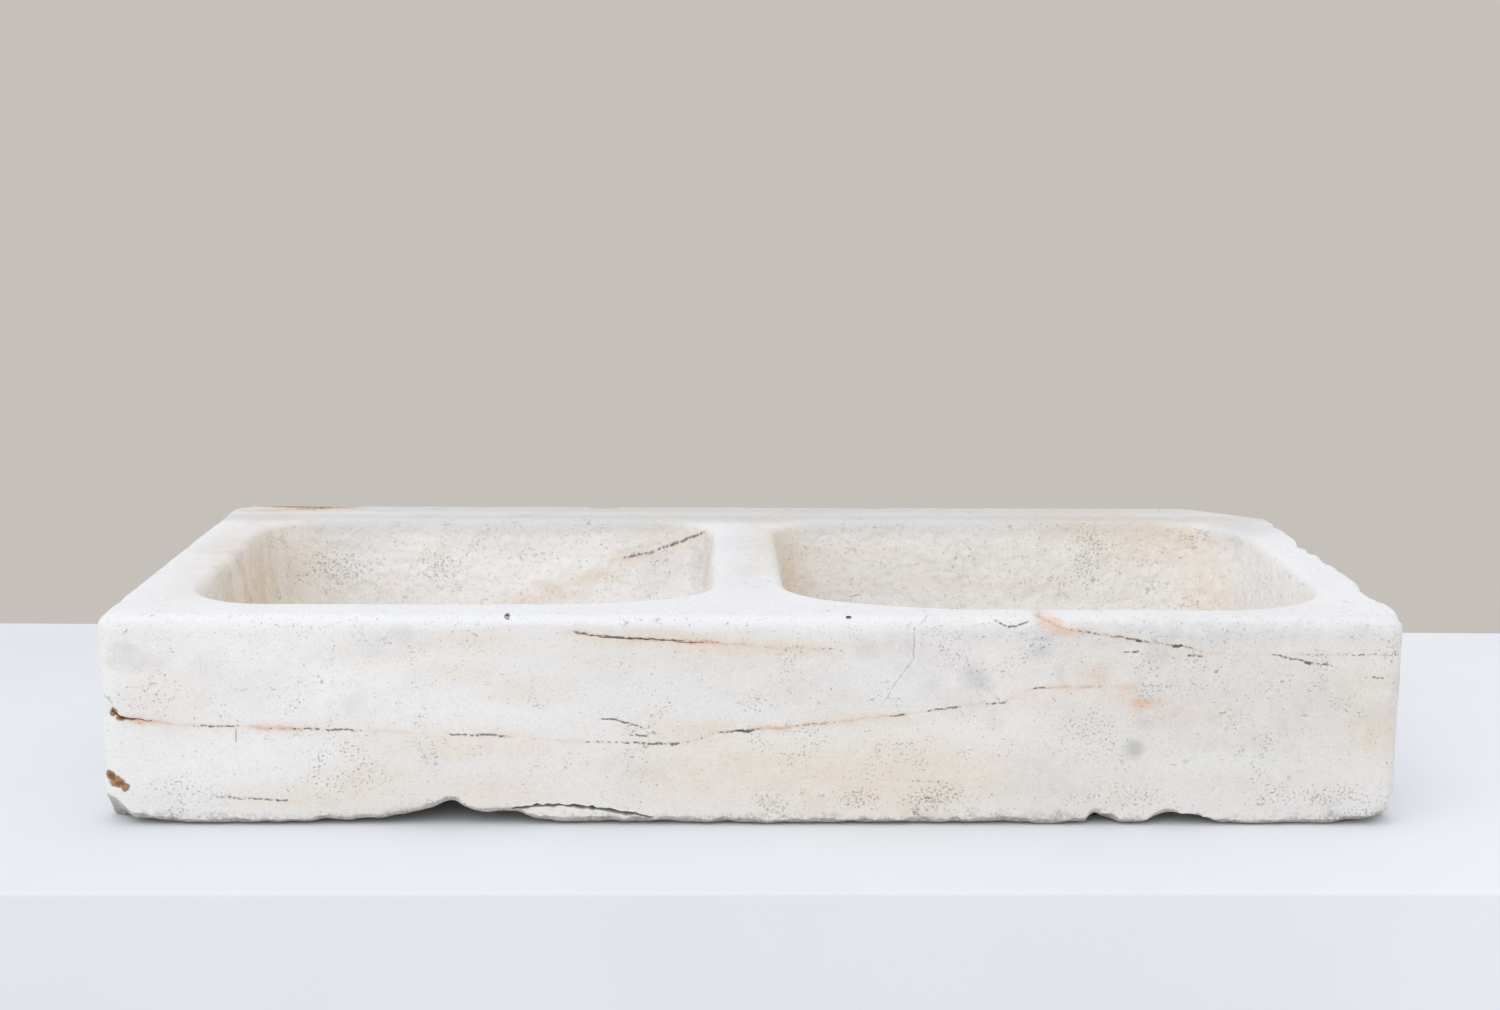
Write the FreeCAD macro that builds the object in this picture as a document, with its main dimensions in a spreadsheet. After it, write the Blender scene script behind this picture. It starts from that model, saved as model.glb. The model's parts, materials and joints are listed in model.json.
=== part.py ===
# Antique double-bowl washbasin: one carved marble block with a brass waste and a rubber plug in each bowl.
# Frame: origin at the centre of the underside, +X along the front to the right bowl, +Y to the back, +Z up.
# All sizes are in millimetres and all angles in degrees.

import FreeCAD, Part
import math
import os
import re
import Sketcher

SIZES = {
    # the block as it was sawn
    "block_length": 1150,
    "block_depth": 540,
    "block_height": 190,
    "upright_rounding": 16,
    "top_arris": 12,
    "base_arris": 5,
    "broken_corner_length": 64,
    "broken_corner_depth": 54,
    "corner_chip_bite": 32,
    "corner_chip_hollow": 25,
    # the walls left standing round the bowls
    "left_rim": 62,
    "right_rim": 45,
    "left_front_rim": 58,
    "right_front_rim": 41,
    "back_rim": 82,
    "divider_width": 65,
    "divider_offset": 3.5,
    # the bowls
    "bowl_depth": 125,
    "wall_slope": 7,
    "floor_rounding": 36,
    "rim_rounding": 9,
    "left_front_corner": 78,
    "left_back_corner": 64,
    "left_inner_back_corner": 62,
    "left_inner_front_corner": 72,
    "left_sweep_radius": 260,
    "left_sweep_run": 150,
    "right_front_corner": 106,
    "right_back_corner": 100,
    "right_inner_back_corner": 64,
    "right_inner_front_corner": 88,
    "right_sweep_radius": 330,
    "right_sweep_run": 190,
    # the drain cut through each floor
    "floor_fall": 3,
    "fall_radius": 130,
    "rebate_depth": 4,
    "rebate_gap": 1.5,
    "drain_hole_gap": 2,
    "clamped_stone": 22,
    "recess_radius": 54,
    # the waste
    "flange_radius": 38,
    "flange_thickness": 3.5,
    "flange_edge": 1.5,
    "seat_rim_width": 3,
    "shank_radius": 23.9,
    "shank_end": 2,
    "tail_radius": 20.955,
    "tail_length": 14.5,
    "tail_bore_radius": 17.75,
    "seat_radius": 20.3,
    "seat_depth": 14,
    "bar_width": 3,
    "bar_height": 4,
    "bar_drop": 12,
    "hub_radius": 5,
    # what clamps the waste to the stone
    "thread_clearance": 0.1,
    "washer_clearance": 0.3,
    "bed_washer_thickness": 1.5,
    "bed_washer_inset": 1,
    "seal_washer_radius": 40,
    "seal_washer_thickness": 5,
    "friction_washer_radius": 36,
    "friction_washer_thickness": 1.5,
    "nut_across_flats": 58,
    "nut_height": 9,
    "nut_flange_radius": 34,
    "nut_flange_thickness": 2,
    # the plug
    "plug_gap": 0.3,
    "plug_height": 13,
    "stud_radius": 2.5,
    "stud_hole_gap": 0.1,
    "stud_head_radius": 8,
    "stud_head_thickness": 1.6,
    "stud_head_gap": 0.2,
    "stud_end": 1.2,
    "eye_radius": 3.6,
    "eye_roof": 2.4,
    "eye_crown": 1.2,
    "plug_washer_radius": 9,
    "plug_washer_thickness": 1.5,
    "plug_nut_across_flats": 8,
    "plug_nut_height": 4,
    # the ring
    "ring_wire_radius": 1.3,
    "ring_half_width": 11,
    "ring_leg": 9.5,
    "ring_gap": 0.3,
    "ring_bore_gap": 0.25,
}

# shell-shaped breaks along the front of the underside: place from the centre, width, height, reach beneath
CHIPS = {
    "long_chip": (-302, 196, 21, 60),
    "flake_chip": (-222, 58, 12, 34),
    "small_chip": (316, 24, 11, 14),
    "wide_chip": (383, 72, 12, 40),
}

doc = FreeCAD.newDocument("MarbleWashbasin")
sheet = doc.addObject("Spreadsheet::Sheet", "Sizes")
CHIP_SIZES = ("place", "width", "height", "reach")
for chip, numbers in CHIPS.items():
    for what, number in zip(CHIP_SIZES, numbers):
        SIZES[f"{chip}_{what}"] = number
for row, (alias, number) in enumerate(SIZES.items(), start=1):
    sheet.set(f"A{row}", alias)
    sheet.set(f"B{row}", str(number))
    sheet.setAlias(f"B{row}", alias)
doc.recompute()

WORD = re.compile(r"[a-z][a-z_]*[a-z]")
TOUCH = 0.01  # how near two points count as one
PAST = "1"  # how far a cut runs past the face it opens


def linked(formula):
    """A formula in the sheet's own words, with each word pointing at its cell."""
    return WORD.sub(lambda m: f"Sizes.{m.group()}" if m.group() in SIZES else m.group(), formula)


def value(formula):
    """What a formula comes to with the sheet's present numbers."""
    return float(sheet.evalExpression(formula))


def bind(thing, path, formula):
    thing.setExpression(path, linked(formula))


# heights above the underside, and places in plan, that several pieces share
FLOOR = "(block_height - bowl_depth)"
DRAIN_LIP = f"({FLOOR} - floor_fall)"
REBATE_FLOOR = f"({DRAIN_LIP} - rebate_depth)"
FLANGE_UNDER = f"({REBATE_FLOOR} + bed_washer_thickness)"
FLANGE_TOP = f"({FLANGE_UNDER} + flange_thickness)"
SEAT_END = f"({FLANGE_TOP} - seat_depth)"
BAR_TOP = f"({SEAT_END} - bar_drop)"
RECESS_ROOF = f"({REBATE_FLOOR} - clamped_stone)"
SEAL_UNDER = f"({RECESS_ROOF} - seal_washer_thickness)"
FRICTION_UNDER = f"({SEAL_UNDER} - friction_washer_thickness)"
NUT_UNDER = f"({FRICTION_UNDER} - nut_height)"
SHANK_UNDER = f"({NUT_UNDER} - shank_end)"
TAIL_UNDER = f"({SHANK_UNDER} - tail_length)"
PLUG_TOP = FLANGE_TOP
PLUG_UNDER = f"({PLUG_TOP} - plug_height)"
RING_HEIGHT = f"({PLUG_TOP} + ring_gap + ring_wire_radius)"

OUTER_SIDE = {"left": "(left_rim - block_length / 2)", "right": "(block_length / 2 - right_rim)"}
INNER_SIDE = {
    "left": "(-divider_width / 2 - divider_offset)",
    "right": "(divider_width / 2 - divider_offset)",
}
FRONT_EDGE = {side: f"({side}_front_rim - block_depth / 2)" for side in ("left", "right")}
BACK_EDGE = "(block_depth / 2 - back_rim)"
DRAIN_X = {side: f"(({OUTER_SIDE[side]} + {INNER_SIDE[side]}) / 2)" for side in ("left", "right")}
DRAIN_Y = {side: f"(({FRONT_EDGE[side]} + {BACK_EDGE}) / 2)" for side in ("left", "right")}


# helpers for sketches


def new_body(label):
    body = doc.addObject("PartDesign::Body", label)
    body.Label = label
    return body


def new_sketch(body, name, plane):
    sketch = body.newObject("Sketcher::SketchObject", name)
    support = next(f for f in body.Origin.OriginFeatures if f.Role == plane)
    sketch.AttachmentSupport = (support, [""])
    sketch.MapMode = "FlatFace"
    return sketch


def place_point(sketch, geo, end, across, up):
    """Holds one end of a sketch line at two formulas, measured from the sketch's origin."""
    for kind, axis, formula in (("DistanceX", -2, across), ("DistanceY", -1, up)):
        number = value(formula)
        if formula == "0":
            sketch.addConstraint(Sketcher.Constraint("PointOnObject", geo, end, axis))
            continue
        made = sketch.addConstraint(Sketcher.Constraint(kind, -1, 1, geo, end, number))
        bind(sketch, f"Constraints[{made}]", formula)


def outline(sketch, corners):
    """A closed run of straight lines through corners given as pairs of formulas."""
    points = [FreeCAD.Vector(value(across), value(up), 0) for across, up in corners]
    count = len(points)
    first = sketch.GeometryCount
    for n in range(count):
        sketch.addGeometry(Part.LineSegment(points[n], points[(n + 1) % count]), False)
    for n in range(count):
        sketch.addConstraint(Sketcher.Constraint("Coincident", first + n, 2, first + (n + 1) % count, 1))
    for n, (across, up) in enumerate(corners):
        place_point(sketch, first + n, 1, across, up)


def circle(sketch, radius, across="0", up="0"):
    centre = FreeCAD.Vector(value(across), value(up), 0)
    geo = sketch.addGeometry(Part.Circle(centre, FreeCAD.Vector(0, 0, 1), value(radius)), False)
    place_point(sketch, geo, 3, across, up)
    made = sketch.addConstraint(Sketcher.Constraint("Radius", geo, value(radius)))
    bind(sketch, f"Constraints[{made}]", radius)


def hexagon(sketch, across_flats):
    """A regular hexagon on the origin, held by the circle through its corners."""
    corner_radius = f"({across_flats} / 2 / cos(30))"
    reach = value(corner_radius)
    points = [FreeCAD.Vector(reach * math.cos(n * math.pi / 3), reach * math.sin(n * math.pi / 3), 0)
              for n in range(6)]
    lines = [sketch.addGeometry(Part.LineSegment(points[n], points[(n + 1) % 6]), False) for n in range(6)]
    ring = sketch.addGeometry(Part.Circle(FreeCAD.Vector(), FreeCAD.Vector(0, 0, 1), reach), True)
    sketch.addConstraint(Sketcher.Constraint("Coincident", ring, 3, -1, 1))
    made = sketch.addConstraint(Sketcher.Constraint("Radius", ring, reach))
    bind(sketch, f"Constraints[{made}]", corner_radius)
    for n in range(6):
        sketch.addConstraint(Sketcher.Constraint("Coincident", lines[n], 2, lines[(n + 1) % 6], 1))
        sketch.addConstraint(Sketcher.Constraint("PointOnObject", lines[n], 1, ring))
    for n in range(1, 6):
        sketch.addConstraint(Sketcher.Constraint("Equal", lines[0], lines[n]))
    sketch.addConstraint(Sketcher.Constraint("PointOnObject", lines[0], 1, -1))


def turned(body, name, corners, cut=False):
    """Turns a profile, given as pairs of radius and height formulas, about the body's own upright axis."""
    sketch = new_sketch(body, f"{name}_profile", "XZ_Plane")
    outline(sketch, corners)
    feature = body.newObject("PartDesign::Groove" if cut else "PartDesign::Revolution", name)
    feature.Profile = sketch
    feature.ReferenceAxis = (sketch, ["V_Axis"])
    feature.Angle = 360
    return feature, sketch


def ring_of(body, name, inner, outer, low, high):
    """A plain flat ring."""
    return turned(body, name, [(inner, low), (outer, low), (outer, high), (inner, high)])


def edges_where(feature, wanted):
    """Names of the edges of a feature whose every vertex passes a test."""
    return [f"Edge{n}" for n, edge in enumerate(feature.Shape.Edges, start=1)
            if all(wanted(v.Point) for v in edge.Vertexes)]


def rounded(body, name, base, edges, radius):
    feature = body.newObject("PartDesign::Fillet", name)
    feature.Base = (base, edges)
    bind(feature, "Radius", radius)
    doc.recompute()
    return feature


def at_drain(body, side):
    """Stands a body on the axis of one drain, with its heights still measured from the underside."""
    bind(body, "Placement.Base.x", DRAIN_X[side])
    bind(body, "Placement.Base.y", DRAIN_Y[side])
    return body


# the marble block


def block_outline(body):
    sketch = new_sketch(body, "block_plan", "XY_Plane")
    east, north = "block_length / 2", "block_depth / 2"
    outline(sketch, [
        (f"-{east}", f"-{north}"),
        (east, f"-{north}"),
        (east, f"{north} - broken_corner_depth"),
        (f"{east} - broken_corner_length", north),
        (f"-{east}", north),
    ])
    pad = body.newObject("PartDesign::Pad", "sawn_block")
    pad.Profile = sketch
    bind(pad, "Length", "block_height")
    doc.recompute()
    uprights = [f"Edge{n}" for n, edge in enumerate(pad.Shape.Edges, start=1)
                if abs(edge.Vertexes[0].Z - edge.Vertexes[-1].Z) > TOUCH]
    return rounded(body, "worn_uprights", pad, uprights, "upright_rounding")


def join_tangent(sketch, first, second):
    """Joins two neighbouring pieces of an outline smoothly, at the ends where they meet."""
    ends = {geo: (sketch.getPoint(geo, 1), sketch.getPoint(geo, 2)) for geo in (first, second)}
    meeting = min(((a, b) for a in (0, 1) for b in (0, 1)),
                  key=lambda ab: ends[first][ab[0]].distanceToPoint(ends[second][ab[1]]))
    sketch.addConstraint(Sketcher.Constraint("Tangent", first, meeting[0] + 1, second, meeting[1] + 1))


def bowl_plan(body, side):
    """Plan of a bowl at the rim: straight sides, round corners, and a long sweep from divider to front."""
    sketch = new_sketch(body, f"{side}_bowl_plan", "XY_Plane")
    bind(sketch, "AttachmentOffset.Base.z", "block_height")
    way = 1 if side == "left" else -1
    outer, inner = way * value(OUTER_SIDE[side]), way * value(INNER_SIDE[side])
    front, back = value(FRONT_EDGE[side]), value(BACK_EDGE)
    corner = {name: value(f"{side}_{name}") for name in
              ("front_corner", "back_corner", "inner_back_corner", "inner_front_corner",
               "sweep_radius", "sweep_run")}
    tight, sweep, run = corner["inner_front_corner"], corner["sweep_radius"], corner["sweep_run"]
    turn = math.asin((run - tight) / (sweep - tight))
    sweep_centre = (inner - run, front + sweep)
    tight_centre = (inner - tight, front + sweep - (sweep - tight) * math.cos(turn))

    def point(x, y):
        return FreeCAD.Vector(way * x, y, 0)

    def line(start, end):
        return sketch.addGeometry(Part.LineSegment(point(*start), point(*end)), False)

    def arc(centre, radius, start, end):
        """An arc in degrees, counted anticlockwise on the left bowl and mirrored on the right one."""
        low, high = (start, end) if way > 0 else (180 - end, 180 - start)
        round_edge = Part.Circle(point(*centre), FreeCAD.Vector(0, 0, 1), radius)
        return sketch.addGeometry(Part.ArcOfCircle(round_edge, math.radians(low), math.radians(high)), False)

    fc, bc, ibc = corner["front_corner"], corner["back_corner"], corner["inner_back_corner"]
    swept = math.degrees(turn)
    front_line = line((outer + fc, front), (inner - run, front))
    sweep_arc = arc(sweep_centre, sweep, -90, swept - 90)
    tight_arc = arc(tight_centre, tight, swept - 90, 0)
    inner_line = line((inner, tight_centre[1]), (inner, back - ibc))
    inner_back = arc((inner - ibc, back - ibc), ibc, 0, 90)
    back_line = line((inner - ibc, back), (outer + bc, back))
    outer_back = arc((outer + bc, back - bc), bc, 90, 180)
    outer_line = line((outer, back - bc), (outer, front + fc))
    outer_front = arc((outer + fc, front + fc), fc, 180, 270)

    loop = [front_line, sweep_arc, tight_arc, inner_line, inner_back, back_line, outer_back, outer_line,
            outer_front]
    for n, geo in enumerate(loop):
        join_tangent(sketch, geo, loop[(n + 1) % len(loop)])
    for geo in (front_line, back_line):
        sketch.addConstraint(Sketcher.Constraint("Horizontal", geo))
    for geo in (inner_line, outer_line):
        sketch.addConstraint(Sketcher.Constraint("Vertical", geo))
    for geo, name in ((sweep_arc, "sweep_radius"), (tight_arc, "inner_front_corner"),
                      (inner_back, "inner_back_corner"), (outer_back, "back_corner"),
                      (outer_front, "front_corner")):
        made = sketch.addConstraint(Sketcher.Constraint("Radius", geo, value(f"{side}_{name}")))
        bind(sketch, f"Constraints[{made}]", f"{side}_{name}")
    run_end = f"({INNER_SIDE[side]} - {way} * {side}_sweep_run)"
    for geo, kind, formula in ((front_line, "DistanceY", FRONT_EDGE[side]),
                               (back_line, "DistanceY", BACK_EDGE),
                               (outer_line, "DistanceX", OUTER_SIDE[side]),
                               (inner_line, "DistanceX", INNER_SIDE[side])):
        made = sketch.addConstraint(Sketcher.Constraint(kind, -1, 1, geo, 1, value(formula)))
        bind(sketch, f"Constraints[{made}]", formula)
    made = sketch.addConstraint(Sketcher.Constraint("DistanceX", -1, 1, front_line, 2, value(run_end)))
    bind(sketch, f"Constraints[{made}]", run_end)
    return sketch


def carve_bowl(body, side):
    pocket = body.newObject("PartDesign::Pocket", f"{side}_bowl")
    pocket.Profile = bowl_plan(body, side)
    bind(pocket, "Length", "bowl_depth")
    bind(pocket, "TaperAngle", "-wall_slope")
    doc.recompute()
    return pocket


def cut_drain(body, side):
    """The fall of the floor, the flange's rebate, the hole, and the recess for the nut, in one turned cut."""
    hole = "(shank_radius + drain_hole_gap)"
    rebate = "(flange_radius + rebate_gap)"
    cut, sketch = turned(body, f"{side}_drain", [
        ("0", f"-{PAST}"),
        ("recess_radius", f"-{PAST}"),
        ("recess_radius", RECESS_ROOF),
        (hole, RECESS_ROOF),
        (hole, REBATE_FLOOR),
        (rebate, REBATE_FLOOR),
        (rebate, DRAIN_LIP),
        ("fall_radius", FLOOR),
        ("fall_radius", f"{FLOOR} + {PAST}"),
        ("0", f"{FLOOR} + {PAST}"),
    ], cut=True)
    bind(sketch, "AttachmentOffset.Base.x", DRAIN_X[side])
    bind(sketch, "AttachmentOffset.Base.z", f"-{DRAIN_Y[side]}")
    doc.recompute()
    return cut


def break_edge(body, chip):
    """A shell-shaped chip: a ball that cuts the front edge to a given width, height and reach."""
    half = f"({chip}_width / 2)"
    below = f"(({half}^2 - {chip}_height^2) / (2 * {chip}_height))"
    ahead = f"(({half}^2 - {chip}_reach^2) / (2 * {chip}_reach))"
    ball = body.newObject("PartDesign::SubtractiveSphere", chip)
    bind(ball, "Radius", f"sqrt({half}^2 + {below}^2 + {ahead}^2)")
    bind(ball, "Placement.Base.x", f"{chip}_place")
    bind(ball, "Placement.Base.y", f"-block_depth / 2 - {ahead}")
    bind(ball, "Placement.Base.z", f"-{below}")
    doc.recompute()
    return ball


def break_corner(body):
    """The break at the lower front corner on the left: a ball whose bite is equal along all three edges."""
    ball = body.newObject("PartDesign::SubtractiveSphere", "corner_chip")
    bind(ball, "Radius", "sqrt((corner_chip_hollow + corner_chip_bite)^2 + 2 * corner_chip_hollow^2)")
    bind(ball, "Placement.Base.x", "-block_length / 2 - corner_chip_hollow")
    bind(ball, "Placement.Base.y", "-block_depth / 2 - corner_chip_hollow")
    bind(ball, "Placement.Base.z", "-corner_chip_hollow")
    doc.recompute()
    return ball


def basin_block():
    body = new_body("basin_block")
    block_outline(body)
    for side in ("left", "right"):
        last = carve_bowl(body, side)
    floor, top = value(FLOOR), value("block_height")
    west, east = value(OUTER_SIDE["left"]), value(OUTER_SIDE["right"])
    south, north = min(value(edge) for edge in FRONT_EDGE.values()), value(BACK_EDGE)

    def in_bowls(p):
        return west - TOUCH < p.x < east + TOUCH and south - TOUCH < p.y < north + TOUCH

    floors = edges_where(last, lambda p: abs(p.z - floor) < TOUCH)
    last = rounded(body, "bowl_floors", last, floors, "floor_rounding")
    outside = edges_where(last, lambda p: abs(p.z - top) < TOUCH and not in_bowls(p))
    last = rounded(body, "worn_top", last, outside, "top_arris")
    rims = edges_where(last, lambda p: abs(p.z - top) < TOUCH and in_bowls(p))
    last = rounded(body, "bowl_rims", last, rims, "rim_rounding")
    beneath = edges_where(last, lambda p: abs(p.z) < TOUCH)
    rounded(body, "worn_base", last, beneath, "base_arris")
    for side in ("left", "right"):
        cut_drain(body, side)
    for chip in CHIPS:
        break_edge(body, chip)
    break_corner(body)
    return body


# the waste in each bowl


def waste_body(side):
    body = at_drain(new_body(f"{side}_waste_body"), side)
    turned(body, f"{side}_waste_turning", [
        ("tail_radius", TAIL_UNDER),
        ("tail_radius", SHANK_UNDER),
        ("shank_radius", SHANK_UNDER),
        ("shank_radius", FLANGE_UNDER),
        ("flange_radius", FLANGE_UNDER),
        ("flange_radius", f"{FLANGE_UNDER} + flange_edge"),
        ("(seat_radius + seat_rim_width)", FLANGE_TOP),
        ("seat_radius", FLANGE_TOP),
        ("tail_bore_radius", SEAT_END),
        ("tail_bore_radius", TAIL_UNDER),
    ])
    bar_plan = new_sketch(body, f"{side}_bar_plan", "XY_Plane")
    bind(bar_plan, "AttachmentOffset.Base.z", f"{BAR_TOP} - bar_height")
    into_wall = "((tail_bore_radius + tail_radius) / 2)"
    outline(bar_plan, [
        (f"-{into_wall}", "-bar_width / 2"),
        (into_wall, "-bar_width / 2"),
        (into_wall, "bar_width / 2"),
        (f"-{into_wall}", "bar_width / 2"),
    ])
    bar = body.newObject("PartDesign::Pad", f"{side}_bar")
    bar.Profile = bar_plan
    bind(bar, "Length", "bar_height")
    doc.recompute()
    cross = body.newObject("PartDesign::PolarPattern", f"{side}_cross")
    cross.Originals = [bar]
    cross.Axis = (bar_plan, ["N_Axis"])
    cross.Angle = 90
    cross.Occurrences = 2
    body.Tip = cross
    doc.recompute()
    hub_plan = new_sketch(body, f"{side}_hub_plan", "XY_Plane")
    bind(hub_plan, "AttachmentOffset.Base.z", f"{BAR_TOP} - bar_height")
    circle(hub_plan, "hub_radius")
    hub = body.newObject("PartDesign::Pad", f"{side}_hub")
    hub.Profile = hub_plan
    bind(hub, "Length", "bar_height")
    doc.recompute()
    return body


def bed_washer(side):
    body = at_drain(new_body(f"{side}_bed_washer"), side)
    ring_of(body, f"{side}_bed_ring", "(shank_radius + washer_clearance)",
            "(flange_radius - bed_washer_inset)", REBATE_FLOOR, FLANGE_UNDER)
    return body


def seal_washer(side):
    body = at_drain(new_body(f"{side}_seal_washer"), side)
    ring_of(body, f"{side}_seal_ring", "(shank_radius + washer_clearance)", "seal_washer_radius",
            SEAL_UNDER, RECESS_ROOF)
    return body


def friction_washer(side):
    body = at_drain(new_body(f"{side}_friction_washer"), side)
    ring_of(body, f"{side}_friction_ring", "(shank_radius + washer_clearance)", "friction_washer_radius",
            FRICTION_UNDER, SEAL_UNDER)
    return body


def backnut(side):
    """A flanged hexagon nut with its lower corners turned off."""
    body = at_drain(new_body(f"{side}_backnut"), side)
    plan = new_sketch(body, f"{side}_nut_plan", "XY_Plane")
    bind(plan, "AttachmentOffset.Base.z", NUT_UNDER)
    hexagon(plan, "nut_across_flats")
    circle(plan, "(shank_radius + thread_clearance)")
    blank = body.newObject("PartDesign::Pad", f"{side}_nut_blank")
    blank.Profile = plan
    bind(blank, "Length", "nut_height")
    doc.recompute()
    beyond = f"(nut_across_flats / 2 / cos(30) + {PAST})"
    turned(body, f"{side}_nut_corners", [
        ("nut_across_flats / 2", NUT_UNDER),
        (beyond, NUT_UNDER),
        (beyond, f"{NUT_UNDER} + ({beyond} - nut_across_flats / 2) * tan(30)"),
    ], cut=True)
    ring_of(body, f"{side}_nut_flange", "(shank_radius + thread_clearance)", "nut_flange_radius",
            f"({FRICTION_UNDER} - nut_flange_thickness)", FRICTION_UNDER)
    return body


# the plug of each bowl


def stopper(side):
    """A tapered rubber plug, a little clear of its seat, with a shallow seat for the stud's head."""
    body = at_drain(new_body(f"{side}_stopper"), side)
    slope = "((seat_radius - tail_bore_radius) / seat_depth)"
    top_radius = "(seat_radius - plug_gap)"
    head_seat = "(stud_head_radius + stud_head_gap)"
    hole = "(stud_radius + stud_hole_gap)"
    turned(body, f"{side}_stopper_turning", [
        (hole, PLUG_UNDER),
        (f"{top_radius} - plug_height * {slope}", PLUG_UNDER),
        (top_radius, PLUG_TOP),
        (head_seat, PLUG_TOP),
        (head_seat, f"{PLUG_TOP} - stud_head_thickness"),
        (hole, f"{PLUG_TOP} - stud_head_thickness"),
    ])
    return body


def stopper_stud(side):
    """The stud through the plug, with a flat head and an eye bored across it for the ring."""
    body = at_drain(new_body(f"{side}_stopper_stud"), side)
    stud_foot = f"({PLUG_UNDER} - plug_washer_thickness - plug_nut_height - stud_end)"
    eye_top = f"({RING_HEIGHT} + ring_wire_radius + ring_bore_gap + eye_roof)"
    turned(body, f"{side}_stud_turning", [
        ("0", stud_foot),
        ("stud_radius", stud_foot),
        ("stud_radius", f"{PLUG_TOP} - stud_head_thickness"),
        ("stud_head_radius", f"{PLUG_TOP} - stud_head_thickness"),
        ("stud_head_radius", PLUG_TOP),
        ("eye_radius", PLUG_TOP),
        ("eye_radius", f"{eye_top} - eye_crown"),
        ("eye_radius - eye_crown", eye_top),
        ("0", eye_top),
    ])
    bore_plan = new_sketch(body, f"{side}_eye_plan", "YZ_Plane")
    circle(bore_plan, "(ring_wire_radius + ring_bore_gap)", up=RING_HEIGHT)
    bore = body.newObject("PartDesign::Pocket", f"{side}_eye_bore")
    bore.Profile = bore_plan
    bore.SideType = "Symmetric"
    bore.Type = "ThroughAll"
    doc.recompute()
    return body


def stopper_washer(side):
    body = at_drain(new_body(f"{side}_stopper_washer"), side)
    ring_of(body, f"{side}_plug_ring", "(stud_radius + stud_hole_gap)", "plug_washer_radius",
            f"({PLUG_UNDER} - plug_washer_thickness)", PLUG_UNDER)
    return body


def stopper_nut(side):
    body = at_drain(new_body(f"{side}_stopper_nut"), side)
    plan = new_sketch(body, f"{side}_plug_nut_plan", "XY_Plane")
    bind(plan, "AttachmentOffset.Base.z", f"{PLUG_UNDER} - plug_washer_thickness - plug_nut_height")
    hexagon(plan, "plug_nut_across_flats")
    circle(plan, "(stud_radius + stud_hole_gap)")
    nut = body.newObject("PartDesign::Pad", f"{side}_plug_nut")
    nut.Profile = plan
    bind(nut, "Length", "plug_nut_height")
    return body


def pull_ring(side):
    """A wire D ring lying flat towards the back: a bar through the eye, two square corners, a round bow."""
    body = at_drain(new_body(f"{side}_pull_ring"), side)
    path = new_sketch(body, f"{side}_ring_path", "XY_Plane")
    bind(path, "AttachmentOffset.Base.z", RING_HEIGHT)
    half, leg = value("ring_half_width"), value("ring_leg")

    def line(start, end):
        return path.addGeometry(Part.LineSegment(FreeCAD.Vector(*start, 0), FreeCAD.Vector(*end, 0)), False)

    bar = line((-half, 0), (half, 0))
    right_leg = line((half, 0), (half, leg))
    round_end = Part.Circle(FreeCAD.Vector(0, leg, 0), FreeCAD.Vector(0, 0, 1), half)
    bow = path.addGeometry(Part.ArcOfCircle(round_end, 0, math.pi), False)
    left_leg = line((-half, leg), (-half, 0))
    for first, second in ((bar, right_leg), (left_leg, bar)):
        path.addConstraint(Sketcher.Constraint("Coincident", first, 2, second, 1))
        path.addConstraint(Sketcher.Constraint("Perpendicular", first, second))
    join_tangent(path, right_leg, bow)
    join_tangent(path, bow, left_leg)
    path.addConstraint(Sketcher.Constraint("PointOnObject", bar, 1, -1))
    path.addConstraint(Sketcher.Constraint("PointOnObject", bar, 2, -1))
    path.addConstraint(Sketcher.Constraint("PointOnObject", bow, 3, -2))
    for geo, kind, formula in ((bow, "Radius", "ring_half_width"), (right_leg, "Distance", "ring_leg")):
        made = path.addConstraint(Sketcher.Constraint(kind, geo, value(formula)))
        bind(path, f"Constraints[{made}]", formula)

    section = new_sketch(body, f"{side}_ring_section", "YZ_Plane")
    circle(section, "ring_wire_radius", up=RING_HEIGHT)
    wire = body.newObject("PartDesign::AdditivePipe", f"{side}_ring_wire")
    wire.Profile = section
    wire.Spine = (path, [])
    wire.Transition = "Right corner"
    return body


PIECES = (waste_body, bed_washer, seal_washer, friction_washer, backnut,
          stopper, stopper_stud, stopper_washer, stopper_nut, pull_ring)

bodies = [basin_block()]
for hand in ("left", "right"):
    bodies += [piece(hand) for piece in PIECES]
doc.recompute()

faults = [f"{o.Label}: {', '.join(o.State)}" for o in doc.Objects if {"Invalid", "Error"} & set(o.State)]
faults += [f"{b.Label}: no valid shape" for b in bodies if b.Shape.isNull() or not b.Shape.isValid()]
if faults:
    raise RuntimeError("; ".join(faults))

os.makedirs("parts", exist_ok=True)
for body in bodies:
    body.Shape.exportStep(os.path.join("parts", f"{body.Label}.step"))
    print(f"{body.Label}: {len(body.Shape.Solids)} solid, {body.Shape.Volume / 1000:.1f} cm3")
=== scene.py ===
import json
import math
import random

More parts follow.
